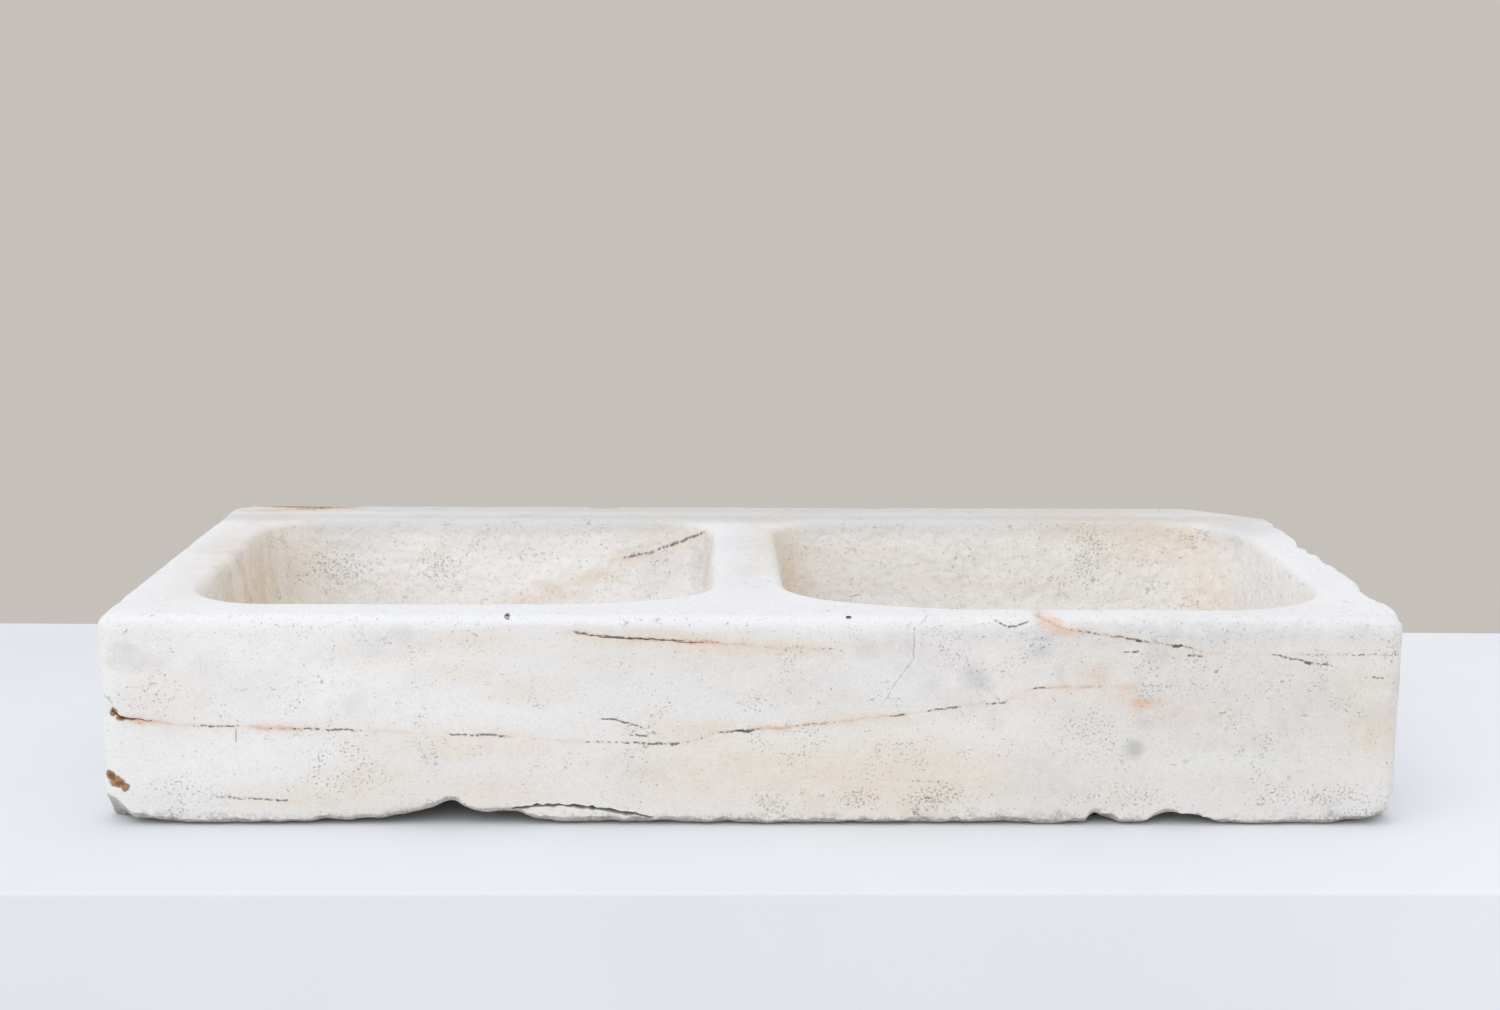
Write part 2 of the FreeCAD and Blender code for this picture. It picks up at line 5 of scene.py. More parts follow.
import bpy
import numpy as np
from mathutils import Euler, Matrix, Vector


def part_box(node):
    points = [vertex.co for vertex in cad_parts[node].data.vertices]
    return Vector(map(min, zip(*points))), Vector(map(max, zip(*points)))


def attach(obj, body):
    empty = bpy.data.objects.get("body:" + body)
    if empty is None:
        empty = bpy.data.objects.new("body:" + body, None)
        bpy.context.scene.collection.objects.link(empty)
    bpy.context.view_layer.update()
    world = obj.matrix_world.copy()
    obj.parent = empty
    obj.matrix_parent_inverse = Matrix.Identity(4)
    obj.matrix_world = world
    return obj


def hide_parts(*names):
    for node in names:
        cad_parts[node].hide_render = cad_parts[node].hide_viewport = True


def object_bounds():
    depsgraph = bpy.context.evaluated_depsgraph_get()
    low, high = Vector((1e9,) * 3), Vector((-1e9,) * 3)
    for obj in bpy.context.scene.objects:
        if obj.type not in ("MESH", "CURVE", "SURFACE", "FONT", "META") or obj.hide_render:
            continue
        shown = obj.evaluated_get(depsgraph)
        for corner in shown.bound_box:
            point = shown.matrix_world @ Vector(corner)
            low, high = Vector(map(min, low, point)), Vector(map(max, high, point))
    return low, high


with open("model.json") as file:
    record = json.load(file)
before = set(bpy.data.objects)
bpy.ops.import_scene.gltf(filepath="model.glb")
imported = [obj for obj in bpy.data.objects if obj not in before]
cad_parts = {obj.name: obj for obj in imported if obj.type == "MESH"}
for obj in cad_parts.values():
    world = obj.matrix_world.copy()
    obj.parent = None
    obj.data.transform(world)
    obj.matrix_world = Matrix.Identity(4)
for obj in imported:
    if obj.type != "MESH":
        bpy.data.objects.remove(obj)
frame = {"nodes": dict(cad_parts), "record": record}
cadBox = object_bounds()
scene = bpy.context.scene
print("frame loaded:", len(frame["nodes"]), "nodes")


# small helpers, each one thing done by hand in the viewport

weld = 0.00001  # corners nearer than this are one


def metres(rows, lengths=6):
    # rows are written in millimetres, and what follows the lengths is a share
    return [(*(mm / 1000 for mm in row[:lengths]), *row[lengths:]) for row in rows]


def pick(piece):
    bpy.ops.object.select_all(action="DESELECT")
    piece.select_set(True)
    bpy.context.view_layer.objects.active = piece


def named(name):
    piece = bpy.context.active_object
    piece.name = name
    piece.data.name = name
    return piece


def settle(piece):
    pick(piece)
    bpy.ops.object.transform_apply(location=True, rotation=True, scale=True)
    return piece


def openEdit():
    bpy.ops.object.mode_set(mode="EDIT")
    bpy.ops.mesh.select_all(action="SELECT")


def closeEdit():
    bpy.ops.mesh.select_all(action="SELECT")
    bpy.ops.mesh.normals_make_consistent(inside=False)
    bpy.ops.object.mode_set(mode="OBJECT")


def pull(step):
    bpy.ops.mesh.extrude_region_move(TRANSFORM_OT_translate={"value": step})


def smoothByAngle(piece, degrees):
    pick(piece)
    bpy.ops.object.shade_smooth_by_angle(angle=math.radians(degrees))


def modify(piece, kind, **values):
    modifier = piece.modifiers.new(kind.title(), kind)
    for key, value in values.items():
        setattr(modifier, key, value)
    pick(piece)
    bpy.ops.object.modifier_apply(modifier=modifier.name)


def combine(piece, other, operation, solver="MANIFOLD"):
    modify(piece, "BOOLEAN", operation=operation, object=other, solver=solver)
    bpy.data.objects.remove(other)


def copyOfNode(node, name):
    piece = bpy.data.objects.new(name, frame["nodes"][node].data.copy())
    scene.collection.objects.link(piece)
    piece.data.materials.clear()
    pick(piece)
    bpy.ops.mesh.customdata_custom_splitnormals_clear()
    openEdit()
    bpy.ops.mesh.remove_doubles(threshold=weld)
    bpy.ops.object.mode_set(mode="OBJECT")
    return piece


# the marble block

stoneBlock = {
    "voxel": 0.003,
    "biteVoxel": 0.002,
    "kept": 0.34,
    "seed": 4,
    "front": -0.27,
    "crease": 50,
    "facesDown": (-0.15, -0.55),
    # plans of the bowls: west, east, south, north
    "bowls": metres([(-520, -29, -220, 196), (22, 537, -237, 196)]),
    "rimFade": (0.1885, 0.178),
    "floor": 0.0605,
    "sides": {"drainFill": 64, "drainCut": 96},
    # radius and height up a drain
    "drainCut": metres([(54, -10), (54, 36), (25.9, 36), (25.9, 58), (39.5, 58), (39.5, 80)]),
    "drainFill": metres([(56, 0.2), (56, 40), (41, 40), (41, 62)]),
    "drainFade": (0.1, 0.064),
    "drainTop": 0.08,
    # how the lower front edge is broken: place along the front, height, reach under the block
    "brokenEdge": metres([
        (-590, 26, 30), (-572, 20, 26), (-558, 8, 22), (-540, 4.4, 20), (-500, 1.2, 20), (-455, 1.8, 22),
        (-420, 1.2, 24), (-401, 2, 34), (-380, 3.6, 28), (-357.8, 2, 39), (-337.9, 4.5, 50), (-321, 6.5, 58),
        (-308, 8.5, 65), (-294.1, 11.5, 69), (-281.2, 15.5, 72), (-270.2, 21.5, 72), (-261.7, 21.5, 69),
        (-257.7, 17, 67), (-247.2, 12.5, 64), (-236.2, 9.6, 59), (-222.3, 10.9, 53), (-209.3, 12.2, 44),
        (-201.3, 8.3, 33), (-190, 3.8, 20), (-172, 2, 26), (-150, 2.4, 24), (-124.5, 3.1, 26), (-104, 2.6, 24),
        (-86, 3.4, 24), (-60, 1.4, 22), (-30, 2.2, 22), (0, 1.2, 20), (35, 1.8, 20), (70, 1.2, 20), (110, 2, 22),
        (150, 1.2, 20), (190, 1.6, 20), (235, 1.2, 20), (275, 1.2, 20), (297, 2.2, 24), (300.6, 7.8, 22),
        (305.6, 14.4, 29), (310.6, 6.7, 22), (320, 2.2, 26), (338, 1.2, 24), (350, 2.4, 34), (359.9, 7.9, 33),
        (371.9, 11.7, 44), (381.9, 8.4, 33), (393, 2, 32), (420, 1.2, 20), (470, 1.2, 20), (520, 1.2, 20),
        (550, 5.6, 22), (566, 10.5, 24), (578, 22, 26), (590, 26, 30),
    ]),
    # section of the break: shares of the lip's depth and the reach, then of the lip's height and the break's height
    "breakCurve": [(-1.5, 0, 1.4, 1), (0, 0, 1, 1), (0.5, 0, 0.4, 1), (1, 0, 0, 0.98), (1, 0.25, 0, 0.98),
                   (1, 0.5, 0, 0.88), (1, 0.72, 0, 0.64), (1, 0.88, 0, 0.34), (1, 1, 0, -0.2)],
    "breakStep": 0.011,
    "breakShake": 0.0014,
    "breakBelow": 0.05,
    "lip": {"deep": 0.0065, "low": 0.002, "high": 0.0062},
    # shell-shaped bites: centre, then half sizes along x, y and z
    "bites": metres([
        (-581.5, -268, 107.5, 18.5, 60, 10.5), (-583.5, -262, 116, 12.5, 60, 13), (-578, -250, 62, 7, 30, 20),
        (584.5, -279, 196, 24, 26, 28), (-580, 68, 197, 8, 30, 11), (-580, -76, 198, 8, 40, 12),
        (-579, 190, 197, 8, 26, 10), (335, -277, 193, 26, 10, 10), (579, -266, 10, 12, 20, 20),
        (-310, 278, 196, 30, 10, 10), (150, 278, 196, 45, 10, 10), (330, 277, 4, 60, 20, 16),
        (-420, 277, 3, 40, 16, 14), (-582, 120, 4, 16, 50, 14), (582, 10, 3, 15, 60, 13),
    ]),
    # small bites along the edges: depth, length and width as shares of it, and how far the centre stands off
    "smallBites": {"count": 76, "deep": (0.0032, 0.0072), "long": (1.4, 3.4), "wide": (0.8, 1.2),
                   "off": (-0.004, 0.0015)},
    "biteLumps": {"size": 0.012, "strength": 0.006},
    "cutCorner": 0.054,
    # where hands and water have rounded the stone: from none to all of it, along y, x and z
    "rounding": {"back": (0.23, 0.25), "ends": (0.548, 0.562), "front": -0.235, "rim": (0.14, 0.178),
                 "corners": (0.54, 0.56), "foot": (0.015, 0.045), "below": (0.17, 0.15), "edgeShare": 0.85},
    # how far the faces are worn back: size of the unevenness, depth
    "wear": metres([(300, 3), (85, 1.8), (26, 1.3), (10, 1)]),
    "pecking": metres([(34, 2.6), (13, 1.5)]),
    "worn": {"wear": 0.45, "pecking": 0.6},
    "lessWorn": {"foot": 0.0012, "footShare": 0.12, "rim": (0.182, 0.188), "rimShare": 0.65},
    "crackCourse": {"step": 0.0045, "shake": 0.0008, "high": (0.55, 1.45)},
    # cracks that open in the front: x, z, half height, half depth
    "cracks": [
        metres([
            (-213, 15.7, 1, 16), (-196, 18.4, 1.8, 24), (-167.4, 19.3, 1.3, 26),
            (-142.1, 17.2, 2.4, 28), (-130.8, 14.9, 1.6, 24), (-116.7, 12.8, 2.1, 20),
            (-99.7, 10.4, 1.3, 12), (-88.4, 7.8, 0.7, 7),
        ]),
        metres([
            (-154.8, 175, 0.3, 5), (-129, 172.2, 0.6, 7), (-89.7, 170.3, 0.5, 6),
            (-43.5, 167.1, 0.3, 5),
        ]),
        metres([
            (-569, 115, 3, 14), (-562, 106, 2.2, 12), (-554.7, 99, 1.3, 10),
            (-540, 97.2, 0.8, 7), (-527, 95.9, 0.4, 5),
        ]),
    ],
    "pits": metres([
        (-216.1, -261.8, 188, 2.8, 4.5, 2.4), (83, -261.6, 188.2, 2.8, 4, 1.4), (-566, -268.5, 45.2, 4.4, 5, 2.8),
        (-558, -270, 38.8, 5, 4, 2.6),
    ]),
    # sharp chips along the top edges, of the same form as the pits
    "chips": metres([
        (580, 150, 196, 12.5, 11, 12.5), (580, 118, 196, 12, 9, 12), (580, 100, 196, 12.8, 8, 12.8),
        (580, 82, 196, 12, 9, 12), (580, -12, 196, 13.8, 16, 13.8), (580, -68, 196, 13, 14, 13),
        (580, -138, 196, 15, 18, 15), (580, -200, 196, 15, 14, 15), (-580, 122, 196, 15, 12, 15),
        (-580, 25, 196, 14.8, 14, 14.8),
    ]),
    # bars that fill the block where its top edges are still sharp and its lower edge is less broken: two corners each
    "fuller": metres([
        (560, -250, 176, 575, 210, 190), (-555, 255, 176, 505, 270, 190), (-403, -269.6, 0.4, -264, -204, 26),
    ]),
}


def drainPlace(side):
    low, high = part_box(f"{side}_waste_body")
    return (low[0] + high[0]) / 2, (low[1] + high[1]) / 2


def turnedSolid(name, x, y, profile):
    # a disc pulled up and resized along a profile of radius and height
    bpy.ops.mesh.primitive_circle_add(vertices=stoneBlock["sides"][name], radius=profile[0][0], fill_type="NGON",
                                      location=(x, y, profile[0][1]))
    piece = settle(named(name))
    openEdit()
    for (oldRadius, oldHeight), (radius, height) in zip(profile, profile[1:]):
        pull((0, 0, height - oldHeight))
        grow = radius / oldRadius
        bpy.ops.transform.resize(value=(grow, grow, 1), center_override=(x, y, height))
    closeEdit()
    return piece


def brokenEdgeCutter(name, dice):
    # a strip as long as the front, pulled into the measured line of the break, then given a depth
    stations, curve, shake = [], stoneBlock["breakCurve"], stoneBlock["breakShake"]
    for old, new in zip(stoneBlock["brokenEdge"], stoneBlock["brokenEdge"][1:]):
        steps = max(1, round((new[0] - old[0]) / stoneBlock["breakStep"]))
        for step in range(steps):
            place, height, reach = (a + (b - a) * step / steps for a, b in zip(old, new))
            stations.append((place, height + dice.uniform(-shake, shake) * (step > 0), reach))
    stations.append(stoneBlock["brokenEdge"][-1])
    lip = stoneBlock["lip"]
    lips = [dice.uniform(lip["low"], lip["high"]) for station in stations]
    bpy.ops.mesh.primitive_grid_add(x_subdivisions=len(stations) - 1, y_subdivisions=len(curve) - 1, size=1)
    piece = named(name)
    xs = sorted({round(v.co.x, 5) for v in piece.data.vertices})
    ys = sorted({round(v.co.y, 5) for v in piece.data.vertices})
    for v in piece.data.vertices:
        station = xs.index(round(v.co.x, 5))
        place, height, reach = stations[station]
        lipBack, back, lipRise, rise = curve[ys.index(round(v.co.y, 5))]
        v.co = (place, stoneBlock["front"] + lipBack * lip["deep"] + back * reach,
                rise * height + lipRise * lips[station])
    openEdit()
    pull((0, 0, -stoneBlock["breakBelow"]))
    closeEdit()
    return piece


def pulledStrip(name, marks, dice):
    # a six-sided section pulled from point to point, with a ragged course between the marks
    path, course, front = [marks[0]], stoneBlock["crackCourse"], stoneBlock["front"]
    for old, new in zip(marks, marks[1:]):
        steps = max(1, round((new[0] - old[0]) / course["step"]))
        for step in range(1, steps + 1):
            x, z, high, deep = (a + (b - a) * step / steps for a, b in zip(old, new))
            z += dice.uniform(-course["shake"], course["shake"])
            path.append((x, z, high * dice.uniform(*course["high"]), deep))
    x, z, high, deep = path[0]
    bpy.ops.mesh.primitive_circle_add(vertices=6, radius=1, fill_type="NGON", location=(x, front, z),
                                      rotation=(0, math.pi / 2, 0))
    piece = settle(named(name))
    openEdit()
    bpy.ops.transform.resize(value=(1, deep, high), center_override=(x, front, z))
    for old, new in zip(path, path[1:]):
        x, z, high, deep = new
        pull((x - old[0], 0, z - old[1]))
        bpy.ops.transform.resize(value=(1, deep / old[3], high / old[2]), center_override=(x, front, z))
    closeEdit()
    return piece


def edgePoints(dice, count):
    # places along the outer edges where small bites have come off, with how often for each edge
    (x0, y0, z0), (x1, y1, z1) = cadBox
    runs = {((x1, y0, z1), (x1, y1 - stoneBlock["cutCorner"], z1)): 4, ((x0, y0, z1), (x0, y1, z1)): 2,
            ((x0, y1, z1), (x1, y1, z1)): 1, ((x0, y1, z0), (x0, y1, z1)): 1, ((x0, y0, z0), (x0, y1, z0)): 2,
            ((x1, y0, z0), (x1, y1, z0)): 2, ((x0, y1, z0), (x1, y1, z0)): 2}
    for run in dice.choices(list(runs), weights=runs.values(), k=count):
        share = dice.random()
        yield tuple(a + (b - a) * share for a, b in zip(*run)), tuple(abs(b - a) > 0.01 for a, b in zip(*run))


def biteCutter(name, dice):
    made, sizes, small = [], list(stoneBlock["bites"]), stoneBlock["smallBites"]
    for place, along in edgePoints(dice, small["count"]):
        deep = dice.uniform(*small["deep"])
        half = [deep * dice.uniform(*small["long" if run else "wide"]) for run in along]
        off = [0 if run else dice.uniform(*small["off"]) for run in along]
        centre = [p + shift if p > 0.1 else p - shift for p, shift in zip(place, off)]  # off the block, either side
        sizes.append((*centre, *half))
    for x, y, z, *half in sizes:
        bpy.ops.mesh.primitive_ico_sphere_add(subdivisions=3, radius=1, location=(x, y, z), scale=half)
        made.append(settle(named(name)))
    bpy.ops.object.select_all(action="DESELECT")
    for piece in made:
        piece.select_set(True)
    bpy.context.view_layer.objects.active = made[0]
    bpy.ops.object.join()
    cutter = made[0]
    lumps = bpy.data.textures.new("biteLumps", "CLOUDS")
    lumps.noise_scale = stoneBlock["biteLumps"]["size"]
    lumps.noise_depth = 2
    modify(cutter, "DISPLACE", texture=lumps, texture_coords="GLOBAL", strength=stoneBlock["biteLumps"]["strength"])
    return cutter


def smoothStep(low, high, value):
    share = np.clip((value - low) / (high - low), 0, 1)
    return share * share * (3 - 2 * share)


def points(piece):
    flat = np.empty(len(piece.data.vertices) * 3)
    piece.data.vertices.foreach_get("co", flat)
    return flat.reshape(-1, 3)


def inBowls(co):
    # 1 deep in a bowl, 0 on the rim and outside
    inside = np.zeros(len(co))
    for west, east, south, north in stoneBlock["bowls"]:
        plan = (co[:, 0] > west) & (co[:, 0] < east) & (co[:, 1] > south) & (co[:, 1] < north)
        inside = np.maximum(inside, plan * smoothStep(*stoneBlock["rimFade"], co[:, 2]))
    return inside * (co[:, 2] > stoneBlock["floor"])


def nearDrains(co):
    near = np.zeros(len(co))
    for side in ("left", "right"):
        x, y = drainPlace(side)
        reach = np.hypot(co[:, 0] - x, co[:, 1] - y)
        near = np.maximum(near, smoothStep(*stoneBlock["drainFade"], reach) * (co[:, 2] < stoneBlock["drainTop"]))
    return near


def weigh(piece, name, weights):
    group, most = piece.vertex_groups.new(name=name), 20
    steps = np.round(weights * most).astype(int)
    for step in range(1, most + 1):
        group.add(np.flatnonzero(steps == step).tolist(), step / most, "REPLACE")
    return group.name


def roundEdges(piece):
    # hands and water have rounded the rim and the corners far more than the foot
    where = stoneBlock["rounding"]
    x, y, z = points(piece).T
    side = np.abs(x)
    outer = np.maximum(smoothStep(*where["back"], y), smoothStep(*where["ends"], side) * (y > where["front"]))
    rim = smoothStep(*where["rim"], z) * (1 - where["edgeShare"] * outer)
    corners = smoothStep(*where["corners"], side) * smoothStep(*where["foot"], z) * smoothStep(*where["below"], z)
    group = weigh(piece, "rounded", np.maximum(rim, corners))
    modify(piece, "SMOOTH", factor=0.5, iterations=2)
    modify(piece, "SMOOTH", factor=0.5, iterations=6, vertex_group=group)


def wearDown(piece):
    co, less = points(piece), stoneBlock["lessWorn"]
    free = (1 - nearDrains(co)) * np.where(co[:, 2] < less["foot"], less["footShare"], 1.0)
    free *= 1 - less["rimShare"] * smoothStep(*less["rim"], co[:, 2])
    wornGroup = weigh(piece, "worn", free)
    peckedGroup = weigh(piece, "pecked", inBowls(co) * (1 - nearDrains(co)))
    for kind, group in (("wear", wornGroup), ("pecking", peckedGroup)):
        for size, depth in stoneBlock[kind]:
            uneven = bpy.data.textures.new(f"{kind}{round(size * 1000)}", "CLOUDS")
            uneven.noise_scale = size
            uneven.noise_depth = 2
            modify(piece, "DISPLACE", texture=uneven, texture_coords="GLOBAL", strength=depth,
                   mid_level=stoneBlock["worn"][kind], vertex_group=group)


def keepInside(piece):
    # nothing may stand proud of the sawn block
    co = points(piece)
    low, high = np.array(cadBox[0]), np.array(cadBox[1])
    piece.data.vertices.foreach_set("co", np.clip(co, low, high).ravel())
    piece.data.update()


def makeStone():
    dice = random.Random(stoneBlock["seed"])
    piece = copyOfNode("basin_block", "stoneBlock")
    for side in ("left", "right"):
        combine(piece, turnedSolid("drainFill", *drainPlace(side), stoneBlock["drainFill"]), "UNION")
    for bar in stoneBlock["fuller"]:
        low, high = bar[:3], bar[3:]
        bpy.ops.mesh.primitive_cube_add(size=1, location=[(a + b) / 2 for a, b in zip(low, high)],
                                        scale=[b - a for a, b in zip(low, high)])
        combine(piece, settle(named("bar")), "UNION")
    combine(piece, brokenEdgeCutter("brokenEdge", dice), "DIFFERENCE")
    modify(piece, "REMESH", mode="VOXEL", voxel_size=stoneBlock["voxel"])
    bites = biteCutter("bites", dice)
    modify(bites, "REMESH", mode="VOXEL", voxel_size=stoneBlock["biteVoxel"])
    combine(piece, bites, "DIFFERENCE")
    print("stone: edges broken")
    modify(piece, "REMESH", mode="VOXEL", voxel_size=stoneBlock["voxel"])
    roundEdges(piece)
    wearDown(piece)
    keepInside(piece)
    print("stone: faces worn,", len(piece.data.polygons), "faces")
    modify(piece, "DECIMATE", ratio=stoneBlock["kept"])
    keepInside(piece)
    for side in ("left", "right"):
        combine(piece, turnedSolid("drainCut", *drainPlace(side), stoneBlock["drainCut"]), "DIFFERENCE")
    for path in stoneBlock["cracks"]:
        combine(piece, pulledStrip("crack", path, dice), "DIFFERENCE")
    for x, y, z, *half in stoneBlock["pits"] + stoneBlock["chips"]:
        bpy.ops.mesh.primitive_ico_sphere_add(subdivisions=2, radius=1, location=(x, y, z), scale=half)
        combine(piece, settle(named("pit")), "DIFFERENCE")
    modify(piece, "TRIANGULATE")
    piece.data.materials.clear()
    smoothByAngle(piece, stoneBlock["crease"])
    modify(piece, "WEIGHTED_NORMAL", keep_sharp=True)
    normals = np.empty(len(piece.data.polygons) * 3)
    piece.data.polygons.foreach_get("normal", normals)
    for name, domain, values in (("hollow", "POINT", inBowls(points(piece))),
                                 ("under", "FACE", smoothStep(*stoneBlock["facesDown"], normals[2::3]))):
        piece.data.attributes.new(name, "FLOAT", domain).data.foreach_set("value", values)
    print("stone: done,", len(piece.data.polygons), "triangles")
    return piece


# the pull rings: a wire bent to a D, its bar in the eye of the stud

pullRing = {"wire": 0.0013, "halfWidth": 0.011, "leg": 0.0095, "bend": 0.0026, "sides": 20,
            "bendSteps": 8, "bowSteps": 32}


def makeRing(side):
    low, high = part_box(f"{side}_pull_ring")
    x, y, z = (low[0] + high[0]) / 2, low[1] + pullRing["wire"], (low[2] + high[2]) / 2
    half, leg, bend = pullRing["halfWidth"], pullRing["leg"], pullRing["bend"]
    bpy.ops.mesh.primitive_circle_add(vertices=pullRing["sides"], radius=pullRing["wire"], location=(x, y, z),
                                      rotation=(0, math.pi / 2, 0))
    piece = settle(named(f"{side}PullRing"))
    openEdit()
    for step, steps, angle, centre in (
            ((half - bend, 0, 0), pullRing["bendSteps"], math.pi / 2, (x + half - bend, y + bend, z)),
            ((0, leg - bend, 0), pullRing["bowSteps"], math.pi, (x, y + leg, z)),
            ((0, bend - leg, 0), pullRing["bendSteps"], math.pi / 2, (x - half + bend, y + bend, z))):
        pull(step)
        bpy.ops.mesh.spin(steps=steps, angle=angle, center=centre, axis=(0, 0, 1))
    pull((half - bend, 0, 0))
    bpy.ops.mesh.select_all(action="SELECT")
    bpy.ops.mesh.remove_doubles(threshold=weld)
    closeEdit()
    bpy.ops.object.shade_smooth()
    return piece


# the waste bodies: the tail carries a pipe thread

wasteTail = {"pitch": 0.002309, "radius": 0.020955, "deep": 0.0011, "low": 0.0045, "turns": 6, "steps": 72,
             "proud": 0.0004, "halfWide": 0.46,  # the groove's mouth: beyond the tail, and as a share of the pitch
             "crease": 32,
             "start": 0.02}  # the start is turned, so that no corner of the groove meets one of the tail


def makeWaste(side):
    piece = copyOfNode(f"{side}_waste_body", f"{side}WasteBody")
    x, y = drainPlace(side)
    pitch, proud, half = wasteTail["pitch"], wasteTail["proud"], wasteTail["pitch"] * wasteTail["halfWide"]
    bpy.ops.mesh.primitive_circle_add(vertices=3, radius=1, fill_type="NOTHING", rotation=(math.pi / 2, 0, 0))
    groove = settle(named("groove"))
    for corner, (out, up) in zip(groove.data.vertices, ((-wasteTail["deep"], 0), (proud, -half), (proud, half))):
        corner.co = (wasteTail["radius"] + out, 0, wasteTail["low"] + up)
    modify(groove, "SCREW", axis="Z", screw_offset=pitch, iterations=wasteTail["turns"], steps=wasteTail["steps"],
           use_merge_vertices=True, use_normal_calculate=True)
    openEdit()
    bpy.ops.mesh.fill_holes(sides=0)
    bpy.ops.mesh.select_all(action="SELECT")
    bpy.ops.transform.rotate(value=wasteTail["start"], orient_axis="Z", center_override=(0, 0, 0))
    bpy.ops.transform.translate(value=(x, y, 0))
    closeEdit()
    combine(piece, groove, "DIFFERENCE", solver="EXACT")
    piece.data.materials.clear()
    smoothByAngle(piece, wasteTail["crease"])
    return piece


# materials

def startMaterial(name):
    material = bpy.data.materials.new(name)
    material.use_nodes = True
    tree = material.node_tree
    tree.nodes.clear()
    out = tree.nodes.new("ShaderNodeOutputMaterial")
    shader = tree.nodes.new("ShaderNodeBsdfPrincipled")
    tree.links.new(shader.outputs[0], out.inputs[0])
    return material, shader, put(tree, "TexCoord", {}).outputs["Object"]


def finishMaterial(shader, colour, roughness, relief, strength):
    tree = shader.id_data
    bump = put(tree, "Bump", {"Strength": strength, "Distance": 1.0, "Height": relief})
    for name, socket in (("Base Color", colour), ("Roughness", roughness), ("Normal", bump.outputs[0])):
        tree.links.new(socket, shader.inputs[name])


def put(tree, kind, inputs, **settings):
    node = tree.nodes.new("ShaderNode" + kind)
    for key, value in settings.items():
        setattr(node, key, value)
    for key, value in inputs.items():
        if isinstance(value, bpy.types.NodeSocket):
            tree.links.new(value, node.inputs[key])
        else:
            node.inputs[key].default_value = value
    return node


# these put a node into the tree that their first socket is in

def calc(operation, *values):
    return put(values[0].id_data, "Math", dict(enumerate(values)), operation=operation).outputs[0]


def vectorCalc(operation, *values, out=0):
    return put(values[0].id_data, "VectorMath", dict(enumerate(values)), operation=operation).outputs[out]


def axes(vector):
    return put(vector.id_data, "SeparateXYZ", {0: vector}).outputs


def stretched(vector, scale, shift=(0, 0, 0)):
    return vectorCalc("MULTIPLY_ADD", vector, scale, shift)


def noise(vector, scale, detail=4, roughness=0.55, out=0):
    inputs = {"Vector": vector, "Scale": scale, "Detail": detail, "Roughness": roughness}
    return put(vector.id_data, "TexNoise", inputs).outputs[out]


def spread(value, low, high, toLow=0, toHigh=1):
    inputs = {0: value, 1: low, 2: high, 3: toLow, 4: toHigh}
    return put(value.id_data, "MapRange", inputs, interpolation_type="SMOOTHSTEP").outputs[0]


def blend(share, first, second):
    return put(share.id_data, "Mix", {0: share, 6: first, 7: second}, data_type="RGBA").outputs[2]


def product(first, *others):
    for other in others:
        first = calc("MULTIPLY", first, other)
    return first


